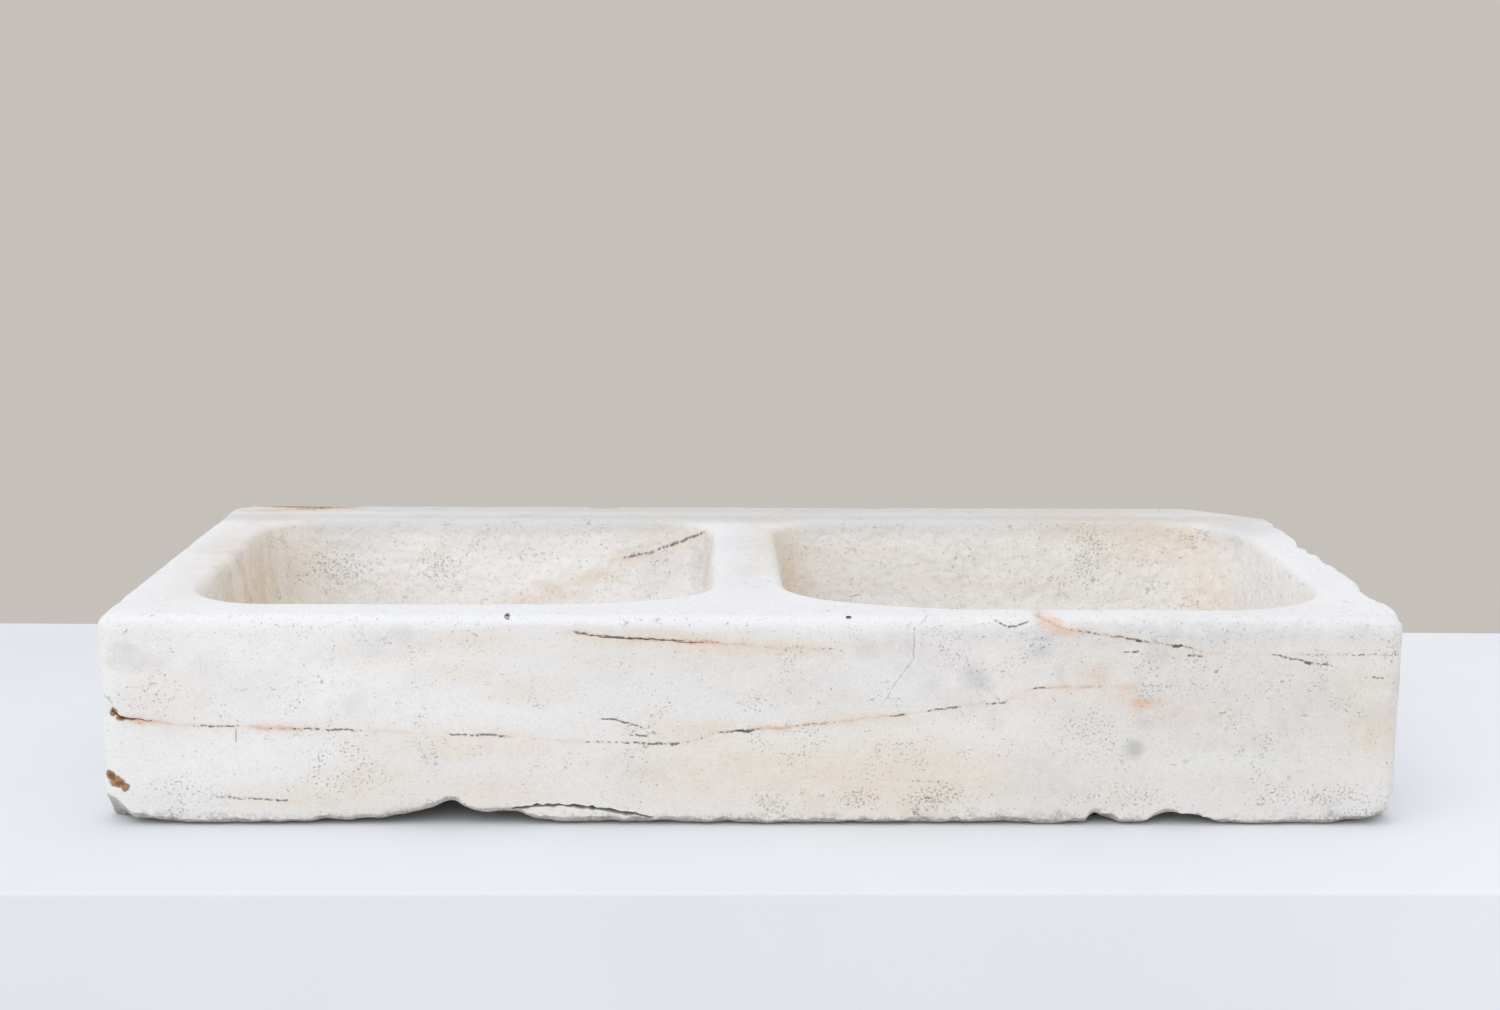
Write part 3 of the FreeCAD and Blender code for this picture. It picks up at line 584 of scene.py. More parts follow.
marble = {
    "white": (0.88, 0.868, 0.868, 1),
    "cream": (0.83, 0.795, 0.748, 1),
    "grey": (0.66, 0.65, 0.65, 1),
    "peach": (0.8, 0.66, 0.52, 1),
    "rust": (0.58, 0.31, 0.12, 1),
    "crust": (0.19, 0.102, 0.046, 1),
    "red": (0.64, 0.39, 0.29, 1),
    "salmon": (0.8, 0.53, 0.395, 1),
    "vein": (0.055, 0.052, 0.055, 1),
    "stain": (0.71, 0.56, 0.375, 1),
    # dirt and painted shade, for pores, pits and the foot
    "dirtAndShade": (0.3, 0.272, 0.235, 1),
    "broken": (0.64, 0.595, 0.53, 1),
    # dark soil and painted shade for the faces beneath the block, also used for the dark spots
    "soilAndShade": (0.11, 0.085, 0.062, 1),
    "milk": (0.935, 0.935, 0.955, 1),
    "smoke": (0.5, 0.5, 0.515, 1),
    "rim": (0.872, 0.882, 0.925, 1),
    # painted light: a pale tone that lifts the shaded insides of the bowls
    "paintedBowlLight": (0.905, 0.885, 0.87, 1),
    # soft blooms of colour: centre, half sizes, strength
    "milkBlooms": metres([
        (-430, -270, 140, 170, 100, 50, 0.95), (-470, -270, 60, 110, 100, 34, 0.7),
        (-250, -270, 112, 100, 100, 22, 0.6), (-310, 190, 135, 200, 80, 50, 0.95), (550, -240, 180, 60, 100, 30, 0.4),
        (420, -270, 55, 70, 80, 12, 0.5), (250, -270, 85, 60, 80, 20, 0.15), (-70, 170, 110, 40, 80, 30, 0.6),
        # the next patch, on the east wall of the right bowl, is painted light
        (540, 0, 150, 45, 150, 50, 0.35),
    ]),
    "creamBlooms": metres([
        (417, -270, 92, 240, 200, 110, 0.8), (79, -270, 39, 300, 200, 55, 0.7), (-330, -270, 36, 200, 200, 45, 0.55),
        (276, 190, 122, 280, 100, 80, 0.6),
    ]),
    "peachBlooms": metres([
        (109, -270, 45, 170, 120, 36, 0.5), (-31, -270, 49, 110, 120, 30, 0.4), (344, -270, 112, 14, 30, 7, 0.95),
        (382, -270, 105, 45, 60, 11, 0.42), (297, -270, 143, 26, 60, 15, 0.35), (327, -270, 124, 20, 60, 12, 0.42),
        (553, -270, 88, 34, 120, 24, 0.62), (537, -270, 122, 60, 120, 30, 0.22), (-346, -270, 155, 60, 80, 11, 0.26),
        (-256, -270, 141, 50, 80, 10, 0.3), (-201, -270, 123, 40, 80, 14, 0.38), (-251, -270, 168, 60, 100, 14, 0.36),
        (18, -270, 161, 85, 100, 12, 0.52), (-56, -270, 88, 55, 100, 16, 0.5), (93, -270, 99, 60, 100, 10, 0.4),
        (243, -270, 118, 50, 100, 11, 0.3), (-241, -270, 75, 90, 120, 14, 0.4), (-340, -270, 46, 40, 80, 14, 0.36),
        (-380, -270, 27, 90, 120, 14, 0.34), (-220, -270, 33, 70, 120, 20, 0.36), (428, -270, 42, 80, 100, 12, 0.2),
        (308, -270, 31, 60, 100, 20, 0.26), (-92, -270, 174, 90, 60, 9, 0.4), (-500, -270, 125, 50, 80, 22, 0.14),
        (466, 180, 163, 80, 50, 26, 0.45), (496, 120, 118, 26, 120, 60, 0.36), (-134, 180, 146, 22, 50, 10, 0.5),
        (-164, 180, 128, 30, 50, 12, 0.6), (-199, 180, 114, 32, 50, 11, 0.62), (-240, 180, 102, 34, 50, 9, 0.6),
    ]),
    "greyBlooms": metres([
        (0, 245, 189, 450, 20, 30, 0.35), (0, 80, 190, 30, 160, 20, 0.36), (450, -270, 110, 160, 100, 80, 0.4),
        (320, -270, 150, 120, 100, 30, 0.26), (0, -270, 130, 220, 100, 40, 0.18), (280, 190, 130, 280, 100, 60, 0.26),
        (525, 80, 130, 45, 120, 60, 0.16), (0, -50, 190, 30, 140, 20, 0.24), (338, -270, 71, 12, 40, 13, 0.85),
        (249, -270, 164, 22, 40, 16, 0.55), (195, -270, 136, 17, 40, 15, 0.55), (354, -270, 161, 22, 40, 13, 0.45),
        (347, -270, 136, 24, 40, 14, 0.4), (-540, -270, 149, 24, 40, 10, 0.5), (-321, -270, 168, 40, 40, 14, 0.35),
        (148, -270, 154, 50, 50, 22, 0.4), (343, -270, 51, 16, 40, 22, 0.35), (-440, -270, 130, 50, 50, 20, 0.25),
        (58, -270, 129, 60, 50, 26, 0.32), (288, -270, 91, 40, 50, 30, 0.32), (-51, 140, 149, 24, 70, 40, 0.8),
        (246, 180, 166, 60, 40, 20, 0.3), (207, 180, 101, 50, 40, 20, 0.25), (530, 60, 140, 20, 60, 30, 0.2),
        (-422, 200, 167, 50, 40, 18, 0.4), (-263, 200, 170, 70, 40, 16, 0.35), (300, 230, 188, 200, 30, 12, 0.35),
        (-540, 50, 190, 30, 50, 10, 0.25), (360, -270, 176, 220, 20, 18, 0.6), (540, -270, 176, 60, 20, 22, 0.52),
        (265, -270, 40, 50, 50, 40, 0.4), (460, -270, 45, 140, 60, 40, 0.25), (-90, 180, 140, 50, 50, 40, 0.35),
    ]),
    "stainBlooms": metres([
        (-515, 20, 120, 45, 260, 80, 0.8), (-482, 170, 127, 50, 50, 60, 0.26), (32, 80, 130, 40, 180, 80, 0.66),
        (475, 185, 178, 90, 30, 14, 0.36), (-372, 180, 75, 120, 50, 16, 0.4), (0, -70, 190, 22, 30, 12, 0.22),
        (385, 200, 183, 100, 40, 16, 0.28),
    ]),
    "rustSpots": metres([
        (-567, -270, 45.5, 6.2, 14, 5, 0.9), (-560.5, -270, 40.5, 7.4, 12, 5, 0.95),
        (-553.5, -270, 35.8, 5.6, 12, 3.4, 0.85), (-566.5, -262, 109.5, 4.2, 30, 5, 0.85),
        (-561, -264, 104, 4.4, 30, 4.2, 0.85), (-555.5, -268, 98.8, 5, 30, 2.8, 0.7),
        (-490, 262, 186, 50, 5, 12, 0.8), (-525, 265, 186, 30, 4, 12, 0.6), (310, -270, 11, 8, 20, 6, 0.35),
        (149, -270, 14, 24, 30, 10, 0.3), (502, -270, 24, 12, 20, 7, 0.18),
    ]),
    "salmonSpots": metres([
        (343, -270, 113.3, 11, 20, 5, 0.85), (356, -270, 114, 8, 20, 4, 0.5), (325, -270, 127.8, 14, 20, 2.8, 0.45),
        (258, -262, 184.5, 13, 20, 5.5, 0.7), (272, -270, 178, 14, 20, 4, 0.6), (306, -270, 139, 11, 20, 9, 0.25),
        (-44, -270, 167.2, 11, 20, 2.4, 0.6), (10, -270, 90.5, 14, 20, 2, 0.5), (-533, -270, 95.5, 16, 20, 3, 0.5),
        (-425, -270, 90.5, 15, 20, 2.4, 0.45),
    ]),
    # dark marks in the stone; the first two, in the pits on the front rim, are painted shade
    "darkSpots": metres([
        (-215.8, -262, 188.4, 3.2, 10, 2, 1), (83.2, -262, 188.8, 3, 10, 1.3, 0.85), (372, -270, 164.9, 5, 10, 2, 1),
        (338.5, -270, 169, 4, 10, 1.2, 0.9), (-8, -270, 87.2, 12, 10, 1.2, 0.9), (488, -270, 150, 4, 10, 1.4, 0.9),
        (156, -270, 26, 6, 10, 1.6, 0.6),
    ]),
    # the last three make the back rim, its inner edge and the rim at the east end darker
    "smokeSpots": metres([
        (339.2, -270, 70.8, 8.5, 30, 9.5, 0.6), (193.7, -270, 134.7, 10, 30, 10, 0.28),
        (99, -270, 162.3, 10, 30, 12, 0.24), (253.4, -270, 170.6, 7.5, 30, 2.6, 0.4),
        (250.3, -270, 160.2, 11, 30, 7, 0.26), (212.8, -270, 94.1, 8, 30, 7.5, 0.18),
        (346.1, -270, 96.6, 8, 30, 7, 0.24), (160.1, -270, 130, 10, 30, 9, 0.14),
        (354.8, -270, 156, 11, 30, 11, 0.24), (270.1, -270, 138.3, 5, 30, 8.5, 0.26),
        (137, -270, 165.8, 4.5, 30, 9, 0.2), (383.4, -270, 59.3, 3, 20, 2.6, 0.5),
        (-475.6, -270, 147.1, 16, 30, 11, 0.14), (-350.9, -270, 110, 12, 30, 11, 0.14),
        (-307.2, -270, 176.3, 10, 30, 7, 0.16), (-548, -270, 161.7, 12, 30, 6, 0.26),
        (564, -262, 11, 14, 30, 10, 0.42), (540, -270, 5.5, 24, 30, 5, 0.36), (0, 262, 190, 1200, 45, 30, 0.46),
        (0, 203, 187, 1200, 30, 14, 0.5), (535, 160, 188, 50, 60, 20, 0.36),
    ]),
    # where the skin of the stone has gone and the grains stand open
    "openGrain": metres([
        (97, -270, 24, 22, 30, 10, 0.9), (163, -270, 24, 32, 30, 13, 1), (15, -270, 21, 20, 30, 10, 0.8),
        (333, -270, 27, 40, 30, 12, 0.6), (-500, -270, 31, 50, 30, 16, 0.5), (517, -270, 25, 50, 40, 12, 0.7),
        (-350, -270, 42, 50, 30, 14, 0.5), (298, -270, 86, 40, 30, 30, 0.5), (372, 180, 152, 20, 50, 40, 0.9),
        (-332, 180, 138, 30, 50, 30, 0.7), (-442, 180, 137, 40, 50, 30, 0.8), (555, 20, 190, 20, 90, 10, 0.6),
        (550, -262, 10, 30, 30, 11, 1), (500, -270, 25.3, 8, 20, 6, 1), (450.7, -270, 23.2, 8, 20, 7, 0.9),
    ]),
    # veins on the front: place along it, height, how dark, how red
    "mainVein": metres([
        (-572, 117, 0.3, 1), (-562, 106, 0.4, 1), (-554.7, 99, 0.5, 1), (-540, 97.2, 0.3, 1), (-527, 95.9, 0.2, 0.9),
        (-504.9, 93, 0, 0.35), (-492.9, 91.8, 0, 0.2), (-488.6, 91.5, 0.75, 0.2), (-454.6, 91.6, 0.8, 0.25),
        (-447.1, 91.1, 0, 0.2), (-433.1, 90, 0.3, 0.8), (-429.4, 89.8, 0.5, 0.9), (-405.2, 89.2, 0.5, 0.8),
        (-394.5, 88.9, 0.95, 0.3), (-358.7, 88, 1, 0.1), (-345.4, 87.5, 0.45, 0.2), (-318.4, 86.6, 0.3, 0.2),
        (-272.6, 84.7, 0, 0.1), (-266, 84.4, 0.85, 0), (-240.7, 83.5, 0.95, 0), (-216.9, 82.7, 0.8, 0.1),
        (-207.7, 82, 0, 0.2), (-153.9, 77.6, 0, 0.2), (-147.6, 77.2, 0.6, 0.1), (-116, 76.8, 0.7, 0.1),
        (-95.7, 76.4, 0.95, 0.1), (-80.1, 75.8, 1, 0.1), (-68.3, 75.5, 0.7, 0.1), (-55.1, 77.4, 0.5, 0.2),
        (-33.1, 85.6, 0.5, 0.3), (-25.1, 86.5, 0.9, 0.1), (-9.4, 87.9, 1, 0), (3.9, 89.2, 0.9, 0.2),
        (10, 89.6, 0.3, 1), (25.5, 90.4, 0.2, 1), (43.5, 93, 0.6, 0.5), (73.5, 95.7, 0.65, 0.3), (82.3, 96.6, 0, 0.5),
        (113.2, 100.4, 0, 0.5), (119.3, 101.2, 0.9, 0.2), (132.1, 102.3, 0.9, 0.2), (137.1, 102.9, 0.3, 0.3),
        (151, 105.8, 0.3, 0.2), (155.4, 106.7, 0.9, 0.1), (178.9, 109.5, 0.95, 0), (184.9, 110.1, 0.2, 0.2),
        (203.8, 112.6, 0.2, 0.2), (208.3, 113.2, 0.8, 0), (222.7, 114.4, 0.8, 0.1), (227.7, 117.6, 0, 0.2),
        (238.6, 123.9, 0, 0.2), (243.3, 126, 0.85, 0.1), (257.6, 127, 0.85, 0.1), (262.5, 127.4, 0.3, 0.6),
        (304.2, 127.9, 0.4, 0.6), (312.4, 127.8, 0, 0),
    ], lengths=2),
    # the run from x -164 to 73 mm under the front rim follows the upper crack: its dark line is painted shade in the
    # crack, its red the stone's own
    "otherVeins": metres([
        (-479.6, 26.8, 0, 0), (-476.5, 26.7, 0.6, 0.1), (-439.7, 25.1, 0.85, 0.1), (-410.8, 23, 0.7, 0.1),
        (-403.8, 22.8, 0, 0.1), (-369.9, 21.8, 0, 0), (-164, 177.7, 0, 0), (-163, 177.7, 0, 0.2),
        (-155.5, 177.1, 0.8, 0.4), (-121.5, 172.5, 0.9, 0.4), (-84.8, 169.8, 0.85, 0.6), (-52.5, 168, 0.75, 0.9),
        (-30.7, 167.2, 0.5, 0.7), (8.1, 163.9, 0.3, 0.3), (38, 162.6, 0.5, 0.2), (68.2, 162.3, 0.6, 0.1),
        (72.9, 162, 0, 0), (242.2, 192.9, 0, 0), (251, 190.2, 0.2, 0.9), (269.7, 181.2, 0.4, 0.9),
        (289.2, 177.7, 0.65, 0.5), (307.8, 175, 0.65, 0.4), (315.1, 174, 0.8, 0.4), (335.3, 170.5, 1, 0.3),
        (343, 169.5, 0.6, 0.3), (367, 166.3, 0.6, 0.3), (372, 165.4, 1, 0.4), (380, 164, 0.9, 0.2),
        (394.8, 158.9, 0.5, 0.2), (416.9, 157.5, 0, 0.2), (476.7, 157.3, 0, 0.15), (486.7, 157.3, 0.45, 0.2),
        (557.9, 157.4, 0.6, 0.1), (570.4, 157.4, 0.3, 0.1),
    ], lengths=2),
    "shortVeins": metres([
        (-143, 99.5, 0, 0), (-136.9, 99.2, 0.75, 0), (-121.9, 98.3, 1, 0), (-99.1, 91, 0.95, 0),
        (-91.2, 83.7, 0.6, 0), (-87.1, 83, 0, 0), (207.4, 187.7, 0, 0), (212.4, 185.7, 0.65, 0),
        (226.6, 181.3, 0.85, 0), (245.2, 187.9, 0.75, 0), (253.2, 190, 0, 0), (321.2, 159.8, 0, 0),
        (326, 159.7, 0.95, 0), (336.5, 159.7, 0.95, 0), (341.1, 159.7, 0, 0), (374, 156.2, 0, 0.2),
        (379.1, 156.1, 1, 0.2), (395, 156.1, 0.9, 0.2), (399.9, 156.2, 0, 0), (452.8, 158.1, 0, 0),
        (457.8, 157.2, 0.75, 0), (484.6, 151.8, 1, 0), (490.7, 150.6, 0.5, 0), (499, 149.1, 0.85, 0),
        (513.3, 146.4, 0.7, 0), (518.7, 145, 0, 0), (528.7, 136.4, 0, 0), (534.4, 136.4, 0.6, 0),
        (559.2, 136.5, 0.6, 0), (564.6, 136.4, 0, 0),
    ], lengths=2),
    "faintVeins": metres([
        (-396.5, 38.5, 0, 0), (-394.5, 39.5, 0.6, 0), (-387, 45.5, 0.7, 0), (-385, 46.5, 0, 0), (-111, 82.8, 0, 0),
        (-106.1, 82.8, 0.9, 0), (-94.1, 82.8, 0.9, 0), (-89.1, 82.7, 0, 0), (13.7, 67.8, 0, 0), (18.6, 67.6, 0.5, 0),
        (46.6, 64.5, 0.6, 0), (52.6, 64.1, 0, 0), (136.4, 41.8, 0, 0), (143.4, 41.6, 0.55, 0.1),
        (173.3, 40, 0.6, 0.1), (178.3, 39.9, 0, 0), (187.5, 174.1, 0, 0), (192.5, 173.8, 0.45, 0),
        (207.4, 172.7, 0.5, 0), (212.4, 172.3, 0, 0),
    ], lengths=2),
    # a vein in the left bowl's back wall
    "bowlVein": metres([
        (-142.9, 144.8, 0, 0), (-124.3, 151.9, 0.8, 0.3), (-103, 155, 0.6, 0.3), (-70.9, 167.6, 0.95, 0.1),
        (-45.8, 182, 0.9, 0), (-38.4, 185.4, 0, 0),
    ], lengths=2),
    # a rusty seam along the back of the rim: place along it, depth, how dark, how red
    "rimVein": metres([
        (-562, 234, 0, 0), (-540.7, 237.4, 0, 0.5), (-513.8, 243.7, 0.3, 0.8), (-487.2, 252, 0.7, 1),
        (-438.7, 258.8, 0.5, 1), (-428, 260, 0, 0),
    ], lengths=2),
    # hairlines that run upwards: height, place along the front, how dark
    "risingVeins": metres([
        (74.4, -455.9, 0), (77.9, -454.5, 0.95), (88.4, -453.5, 0.9), (90.4, -453, 0), (109.3, 111.1, 0),
        (115.3, 115.1, 0.5), (154.3, 139.8, 0.6), (180.2, 140.6, 0.8), (189.3, 151.5, 0.7),
    ], lengths=2),
    "veinWidth": 0.00069,
    # how strongly each colour covers those below it
    "cover": {"cream": 0.6, "grey": 0.5, "rim": 0.8, "paintedBowlLight": 0.55, "hidden": 0.35, "stain": 0.1, "glow": 0.7,
              "red": 0.7, "vein": 0.78, "rising": 0.6, "salmon": 0.45, "spots": 0.85, "pores": 0.5, "pits": 0.42,
              "broken": 0.75, "foot": 0.6},
    # height in metres of each kind of relief
    "relief": {"mottle": 0.0013, "crumbs": 0.00055, "grain": 0.00025, "pores": -0.0006, "pits": -0.001, "spots": -0.001,
               "pecks": 0.0024, "broken": 0.0045},
}


def curveNode(share, marks):
    # one node holds a vein: red is its path, green how dark it is, blue how red
    tree = share.id_data
    node = put(tree, "RGBCurve", {"Color": share})
    for channel, curve in enumerate(node.mapping.curves[:3]):
        curve.points[0].location = (0.0, marks[0][1 + channel])
        curve.points[-1].location = (1.0, marks[-1][1 + channel])
        for mark in marks:
            if 0.0005 < mark[0] < 0.9995:
                curve.points.new(mark[0], mark[1 + channel])
        for point in curve.points:
            point.handle_type = "VECTOR"
    node.mapping.update()
    return put(tree, "SeparateColor", {0: node.outputs[0]}).outputs


def blooms(place, patches):
    # the strongest of a set of soft round patches
    total = None
    for x, y, z, rx, ry, rz, strength in patches:
        offset = stretched(place, (1 / rx, 1 / ry, 1 / rz), (-x / rx, -y / ry, -z / rz))
        reach = vectorCalc("LENGTH", offset, out=1)
        patch = spread(reach, 1.5, 0.2, 0, strength)
        total = patch if total is None else calc("MAXIMUM", total, patch)
    return total


def marbleMaterial():
    material, shader, place = startMaterial("marble")
    tree = material.node_tree
    cover, deep, colour = marble["cover"], marble["relief"], marble["white"]

    def tint(name, *shares):
        nonlocal colour
        colour = blend(product(*shares), colour, marble[name])

    hollow, under = (put(tree, "Attribute", {}, attribute_name=name).outputs["Fac"] for name in ("hollow", "under"))
    drift = vectorCalc("SUBTRACT", noise(place, 22, 4, out=1), (0.5, 0.5, 0.5))
    soft = stretched(drift, (0.04, 0.04, 0.02), place)
    near = stretched(drift, (0.012, 0.012, 0.01), place)
    y, z = axes(soft)[1:]
    mottle = noise(place, 70, 5, 0.65)
    patchy = spread(mottle, 0.3, 0.62, 0.35, 1)
    rim = product(spread(z, 0.168, 0.184), spread(hollow, 0.5, 0), spread(y, 0.22, 0.16))

    # clouds of white, cream and grey, drawn out along the bedding
    creamCloud = spread(noise(stretched(soft, (1, 1, 2.6)), 4.5, 5), 0.45, 0.68)
    greyCloud = noise(stretched(soft, (1, 1, 1.6), (3.1, 1.7, 0.4)), 10, 5)
    tint("cream", calc("MAXIMUM", product(creamCloud, cover["cream"]), blooms(soft, marble["creamBlooms"])))
    tint("grey", spread(greyCloud, 0.52, 0.74), patchy, cover["grey"])
    tint("rim", rim, cover["rim"])
    # painted light: the insides of the bowls lifted towards a pale tone against their shade
    tint("paintedBowlLight", hollow, cover["paintedBowlLight"])
    tint("milk", blooms(soft, marble["milkBlooms"]), patchy)

    # peach blooms where the photograph has them, and bands of it through the hidden faces
    streak = noise(stretched(soft, (2, 2, 11), (0.3, 0.9, 2.2)), 2.2, 5)
    hidden = product(spread(streak, 0.54, 0.72), spread(y, -0.24, -0.05), spread(rim, 1, 0), cover["hidden"])
    tint("peach", calc("MAXIMUM", blooms(soft, marble["peachBlooms"]), hidden), patchy)
    tint("grey", blooms(soft, marble["greyBlooms"]), patchy)
    tint("smoke", blooms(near, marble["smokeSpots"]))
    runs = spread(noise(stretched(soft, (7, 7, 0.9)), 6, 4), 0.36, 0.6, 0.55, 1)
    tint("stain", calc("MAXIMUM", product(blooms(soft, marble["stainBlooms"]), runs),
                       product(creamCloud, hollow, cover["stain"])))

    # veins: sheets in the stone that follow measured lines on the front, broken up into dots and dashes
    wander = vectorCalc("SUBTRACT", noise(place, 75, 4, 0.6, out=1), (0.5, 0.5, 0.5))
    winding = stretched(wander, (0.004, 0, 0.0065), place)
    x, depth, height = axes(winding)
    length, top = cadBox[1][0] - cadBox[0][0], cadBox[1][2]
    share = calc("MULTIPLY_ADD", x, 1 / length, 0.5)
    onFront = spread(depth, -0.225, -0.255)
    inBack = product(hollow, spread(depth, 0.1, 0.14))
    onRim = product(spread(height, 0.174, 0.182), spread(depth, 0.2, 0.22))
    dots = noise(stretched(place, (1, 1, 0.5)), 300, 3, 0.6)
    width = marble["veinWidth"]
    for name, shown, across, low, size, thick in (
            ("mainVein", onFront, height, 0, top, 1), ("otherVeins", onFront, height, 0, top, 1),
            ("shortVeins", onFront, height, 0, top, 1), ("faintVeins", onFront, height, 0, top, 1),
            ("bowlVein", inBack, height, 0, top, 2), ("rimVein", onRim, depth, cadBox[0][1], 0.54, 4)):
        marks = [((px + length / 2) / length, (mark - low) / size, dark, red) for px, mark, dark, red in marble[name]]
        path, dark, red = curveNode(share, marks)[:3]
        gap = calc("ABSOLUTE", calc("MULTIPLY_ADD", path, -size, calc("SUBTRACT", across, low)))
        gap = calc("DIVIDE", gap, calc("MULTIPLY_ADD", dark, 0.6 * thick, 0.6 * thick))
        dashes = spread(calc("MULTIPLY_ADD", dark, 0.3, dots), 0.64, 0.8)
        tint("peach", spread(gap, 0.011, 0), red, shown, patchy, cover["glow"])
        tint("red", spread(gap, 0.003, 0.0003), red, shown, patchy, cover["red"])
        tint("vein", spread(gap, width * 1.7, width * 0.4), dashes, shown, spread(dark, 0, 0.5), cover["vein"])
    marks = [(pz / top, (px + length / 2) / length, dark, 0) for pz, px, dark in marble["risingVeins"]]
    path, dark = curveNode(product(height, 1 / top), marks)[:2]
    gap = calc("ABSOLUTE", calc("MULTIPLY_ADD", path, -length, calc("ADD", x, length / 2)))
    tint("vein", spread(gap, width * 1.6, width * 0.3), onFront, dark, spread(dots, 0.36, 0.58), cover["rising"])

    # rust, with its own crumbly grain
    crumbs = noise(place, 240, 4, 0.7)
    grain = noise(place, 430, 3, 0.6)
    rough = stretched(wander, (0.008, 0.008, 0.008), place)
    tint("salmon", blooms(rough, marble["salmonSpots"]), spread(crumbs, 0.25, 0.55, 0.5, 1))
    rusty = blooms(rough, marble["rustSpots"])
    tint("salmon", rusty, cover["salmon"])
    rust = spread(calc("MULTIPLY_ADD", crumbs, 0.9, rusty), 0.74, 1.15)
    colour = blend(rust, colour, blend(spread(grain, 0.52, 0.66), marble["rust"], marble["crust"]))
    # dark crumbs and spots; in the two pits on the front rim they are painted shade
    spots = calc("MULTIPLY_ADD", crumbs, 0.6, blooms(rough, marble["darkSpots"]))
    spots = spread(spots, 0.7, 0.95)
    tint("soilAndShade", spots, cover["spots"])

    # open grain, pores and pits, with dirt and painted shade in them
    cluster = spread(noise(place, 28, 4, 0.65), 0.5, 0.68)
    opened = calc("MAXIMUM", blooms(soft, marble["openGrain"]),
                  calc("MAXIMUM", product(cluster, 0.5), product(hollow, 0.15)))
    opened = product(opened, spread(rim, 1, 0, 0.35, 1))
    pores = spread(calc("MULTIPLY_ADD", opened, 0.14, grain), 0.63, 0.78)
    tint("dirtAndShade", pores, cover["pores"])
    flaky = stretched(wander, (0.022, 0.022, 0.016), place)
    flakes = noise(stretched(flaky, (1, 1, 1.9)), 85, 2)
    specks = noise(stretched(place, (0.7, 0.7, 1.4)), 290, 3, 0.6)
    specks = product(spread(specks, 0.6, 0.72), spread(cluster, 0.2, 0.8), spread(rim, 1, 0, 0.2, 0.75))
    pits = product(spread(flakes, 0.68, 0.78), spread(crumbs, 0.42, 0.62))
    pits = calc("MAXIMUM", pits, specks)
    tint("dirtAndShade", pits, cover["pits"])

    # the broken underside: raw grey stone at the lip, dark soil and painted shade further in
    tint("broken", under, patchy, cover["broken"])
    ends = spread(calc("ABSOLUTE", x), 0.562, 0.535, 0.15, 1)
    # painted shade: a dark soil colour on the faces beneath the block, behind its front
    tint("soilAndShade", under, ends, spread(depth, -0.266, -0.25), spread(crumbs, 0.25, 0.5, 0.7, 1))
    # darker at the very foot of the stone
    foot = spread(calc("MULTIPLY_ADD", mottle, -0.03, z), 0, -0.012)
    tint("dirtAndShade", foot, spread(crumbs, 0.4, 0.6), cover["foot"])
    sparkle = spread(noise(place, 640, 2), 0.3, 0.7, 0.955, 1.02)
    colour = put(tree, "HueSaturation", {"Value": sparkle, "Color": colour}).outputs[0]

    # relief of the sugary, worn and pecked surface, in metres
    pecks = put(tree, "TexVoronoi", {"Vector": soft, "Scale": 105}, feature="SMOOTH_F1").outputs["Distance"]
    relief = product(mottle, deep["mottle"])
    for name, *parts in (("crumbs", crumbs), ("grain", grain), ("pores", pores), ("pits", pits), ("spots", spots),
                         ("pecks", pecks, hollow), ("broken", crumbs, calc("MAXIMUM", under, rust))):
        relief = calc("MULTIPLY_ADD", product(*parts), deep[name], relief)
    finishMaterial(shader, colour, spread(mottle, 0.3, 0.7, 0.55, 0.72), relief, 1)
    shader.inputs["Specular IOR Level"].default_value = 0.35
    return material


metalWork = {"bright": (0.64, 0.47, 0.215, 1), "dull": (0.33, 0.215, 0.095, 1), "bloom": (0.27, 0.33, 0.24, 1),
             "bloomed": 0.55, "scratchDepth": 0.00004, "bloomDepth": 0.00008, "bump": 0.6}


def brassMaterial():
    material, shader, place = startMaterial("agedBrass")
    patches = noise(place, 55, 5, 0.6)
    colour = blend(spread(patches, 0.42, 0.66), metalWork["bright"], metalWork["dull"])
    spots = spread(noise(place, 170, 4, 0.7), 0.63, 0.74)
    colour = blend(product(spots, metalWork["bloomed"]), colour, metalWork["bloom"])
    scratches = noise(stretched(place, (1, 14, 1)), 260, 3)
    rough = calc("ADD", spread(patches, 0.4, 0.7, 0.24, 0.46), product(scratches, 0.08))
    height = calc("ADD", product(scratches, metalWork["scratchDepth"]), product(spots, metalWork["bloomDepth"]))
    finishMaterial(shader, colour, rough, height, metalWork["bump"])
    shader.inputs["Metallic"].default_value = 1.0
    return material


# rubber and plastic: new and aged colour, noise of the ageing and where it shows, roughness, grain of the skin
mouldings = {
    "rubber": {"colours": ((0.022, 0.022, 0.023, 1), (0.085, 0.083, 0.08, 1)), "aged": 0.7, "patches": (90, 5, 0.65),
               "shows": (0.44, 0.7), "rough": (0.58, 0.82), "skin": (1400, 3), "skinDepth": 0.00006, "bump": 0.7},
    "plastic": {"colours": ((0.82, 0.805, 0.76, 1), (0.7, 0.64, 0.5, 1)), "aged": 0.6, "patches": (40, 4),
                "shows": (0.4, 0.72), "rough": (0.42, 0.58), "skin": (900, 2), "skinDepth": 0.00003, "bump": 0.5},
}


def mouldedMaterial(name):
    material, shader, place = startMaterial(name)
    work = mouldings[name]
    age = spread(noise(place, *work["patches"]), *work["shows"])
    colour = blend(product(age, work["aged"]), *work["colours"])
    skin = product(noise(place, *work["skin"]), work["skinDepth"])
    finishMaterial(shader, colour, spread(age, 0, 1, *work["rough"]), skin, work["bump"])
    return material


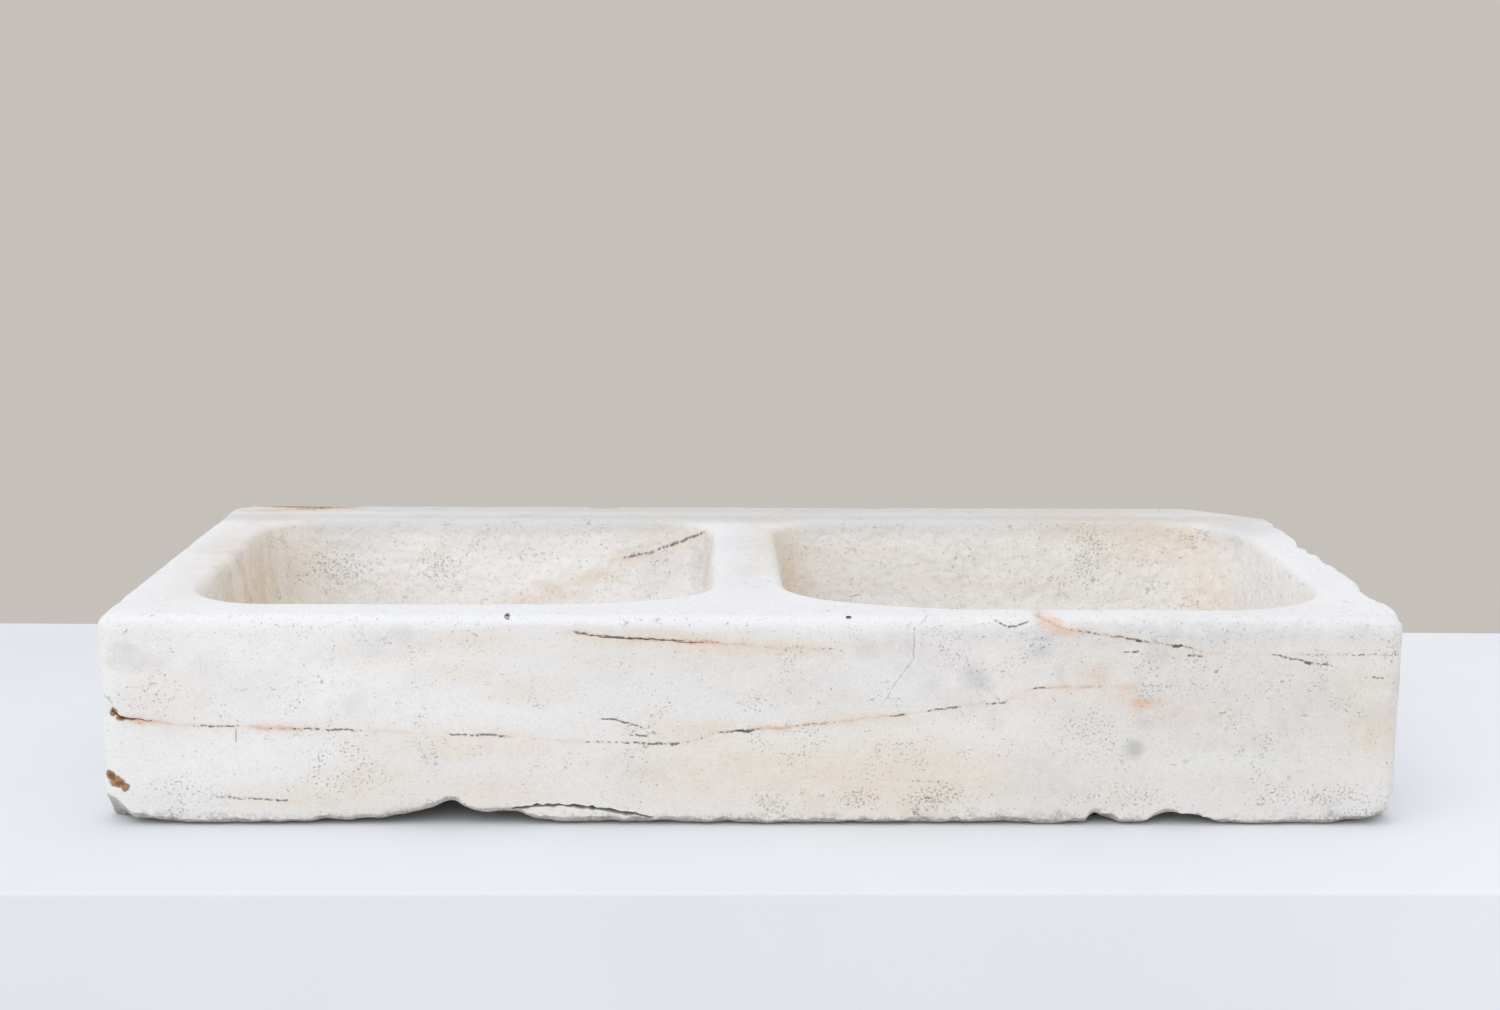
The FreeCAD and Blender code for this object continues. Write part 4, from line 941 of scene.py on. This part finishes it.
block = makeStone()
block.data.materials.append(marbleMaterial())
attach(block, "basin")
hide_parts("basin_block")

finishes = {"brass": brassMaterial(), "rubber": mouldedMaterial("rubber"), "plastic": mouldedMaterial("plastic")}
for part in frame["record"]["subparts"]:
    node = frame["nodes"][part["node"]]
    if part["material_slot"] in finishes:
        node.data.materials.clear()
        node.data.materials.append(finishes[part["material_slot"]])
for side in ("left", "right"):
    for piece, node, body in ((makeRing(side), f"{side}_pull_ring", f"{side}_ring"),
                              (makeWaste(side), f"{side}_waste_body", "basin")):
        piece.data.materials.append(finishes["brass"])
        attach(piece, body)
        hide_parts(node)
        print(piece.name, len(piece.data.polygons), "faces")
print("materials on")


# the stage: a pale plinth, soft light and the photograph's camera

studio = {
    "plinth": (0.795, 0.825, 0.88, 1),
    "plinthHeight": 0.9,
    "plinthBevel": 0.004,
    # corners of the plinth's top, the front pair and the back pair
    "plinthTop": [(-3.5, -0.434), (3.5, -0.434), (-3.5, 0.552), (3.5, 0.404)],
    "wall": (0.565, 0.527, 0.497, 1),
    "sky": (1, 0.995, 0.985, 1),
    "ambient": 0.8,
    "lens": 50,
    "cameraPlace": (-0.0364, -2.0416, 0.6099),
    "cameraTilt": 79.762,
    "cameraTurn": -1.046,
    "cameraRoll": 0.348,
    # tilt and turn in degrees, spread in degrees, strength, colour
    "lamps": {
        "keyLamp": ((52, 0, -42), 70, 0.62, (1.0, 0.99, 0.975)),
        "skyLamp": ((8, 0, 20), 80, 0.44, (0.88, 0.95, 1.0)),
    },
}


def makePlinth():
    bpy.ops.mesh.primitive_plane_add(size=1)
    piece = named("plinth")
    for corner, (x, y) in zip(piece.data.vertices, studio["plinthTop"]):
        corner.co = (x, y, 0)
    openEdit()
    pull((0, 0, -studio["plinthHeight"]))
    closeEdit()
    modify(piece, "BEVEL", width=studio["plinthBevel"], segments=3)
    smoothByAngle(piece, 40)
    material, shader, place = startMaterial("plinthPaint")
    tree = material.node_tree
    # painted light: the paint grows a little lighter towards the right
    brushedAndLit = product(spread(noise(place, 3, 3), 0.3, 0.7, 0.985, 1.01),
                      spread(axes(place)[0], 0.35, 0.75, 1, 1.07))  # a little lighter towards the right
    tone = put(tree, "HueSaturation", {"Value": brushedAndLit, "Color": studio["plinth"]}).outputs[0]
    tree.links.new(tone, shader.inputs["Base Color"])
    shader.inputs["Roughness"].default_value = 0.6
    piece.data.materials.append(material)


def makeWorld():
    world = bpy.data.worlds.new("studioWorld")
    scene.world = world
    world.use_nodes = True
    tree = world.node_tree
    tree.nodes.clear()
    out = tree.nodes.new("ShaderNodeOutputWorld")
    light = put(tree, "Background", {"Color": studio["sky"], "Strength": studio["ambient"]})
    wall = put(tree, "Background", {"Color": studio["wall"]})
    ray = put(tree, "LightPath", {})
    seen = calc("MAXIMUM", ray.outputs["Is Camera Ray"],
                calc("MAXIMUM", ray.outputs["Is Glossy Ray"], ray.outputs["Is Transmission Ray"]))
    mixed = put(tree, "MixShader", {0: seen, 1: light.outputs[0], 2: wall.outputs[0]})
    tree.links.new(mixed.outputs[0], out.inputs[0])


def makeLamps():
    for name, (turn, width, strength, colour) in studio["lamps"].items():
        bpy.ops.object.light_add(type="SUN", location=(0, 0, 2), rotation=[math.radians(angle) for angle in turn])
        lamp = bpy.context.active_object
        lamp.name = name
        lamp.data.angle = math.radians(width)
        lamp.data.energy = strength
        lamp.data.color = colour


def makeCamera():
    bpy.ops.object.camera_add(location=studio["cameraPlace"])
    camera = bpy.context.active_object
    tilt, turn, roll = (math.radians(studio[name]) for name in ("cameraTilt", "cameraTurn", "cameraRoll"))
    camera.rotation_euler = (Euler((tilt, 0, turn)).to_matrix() @ Euler((0, 0, roll)).to_matrix()).to_euler()
    camera.data.lens = studio["lens"]
    camera.data.sensor_width = 36
    scene.camera = camera


makePlinth()
makeWorld()
makeLamps()
makeCamera()
scene.view_settings.view_transform = "Standard"
print("stage set")
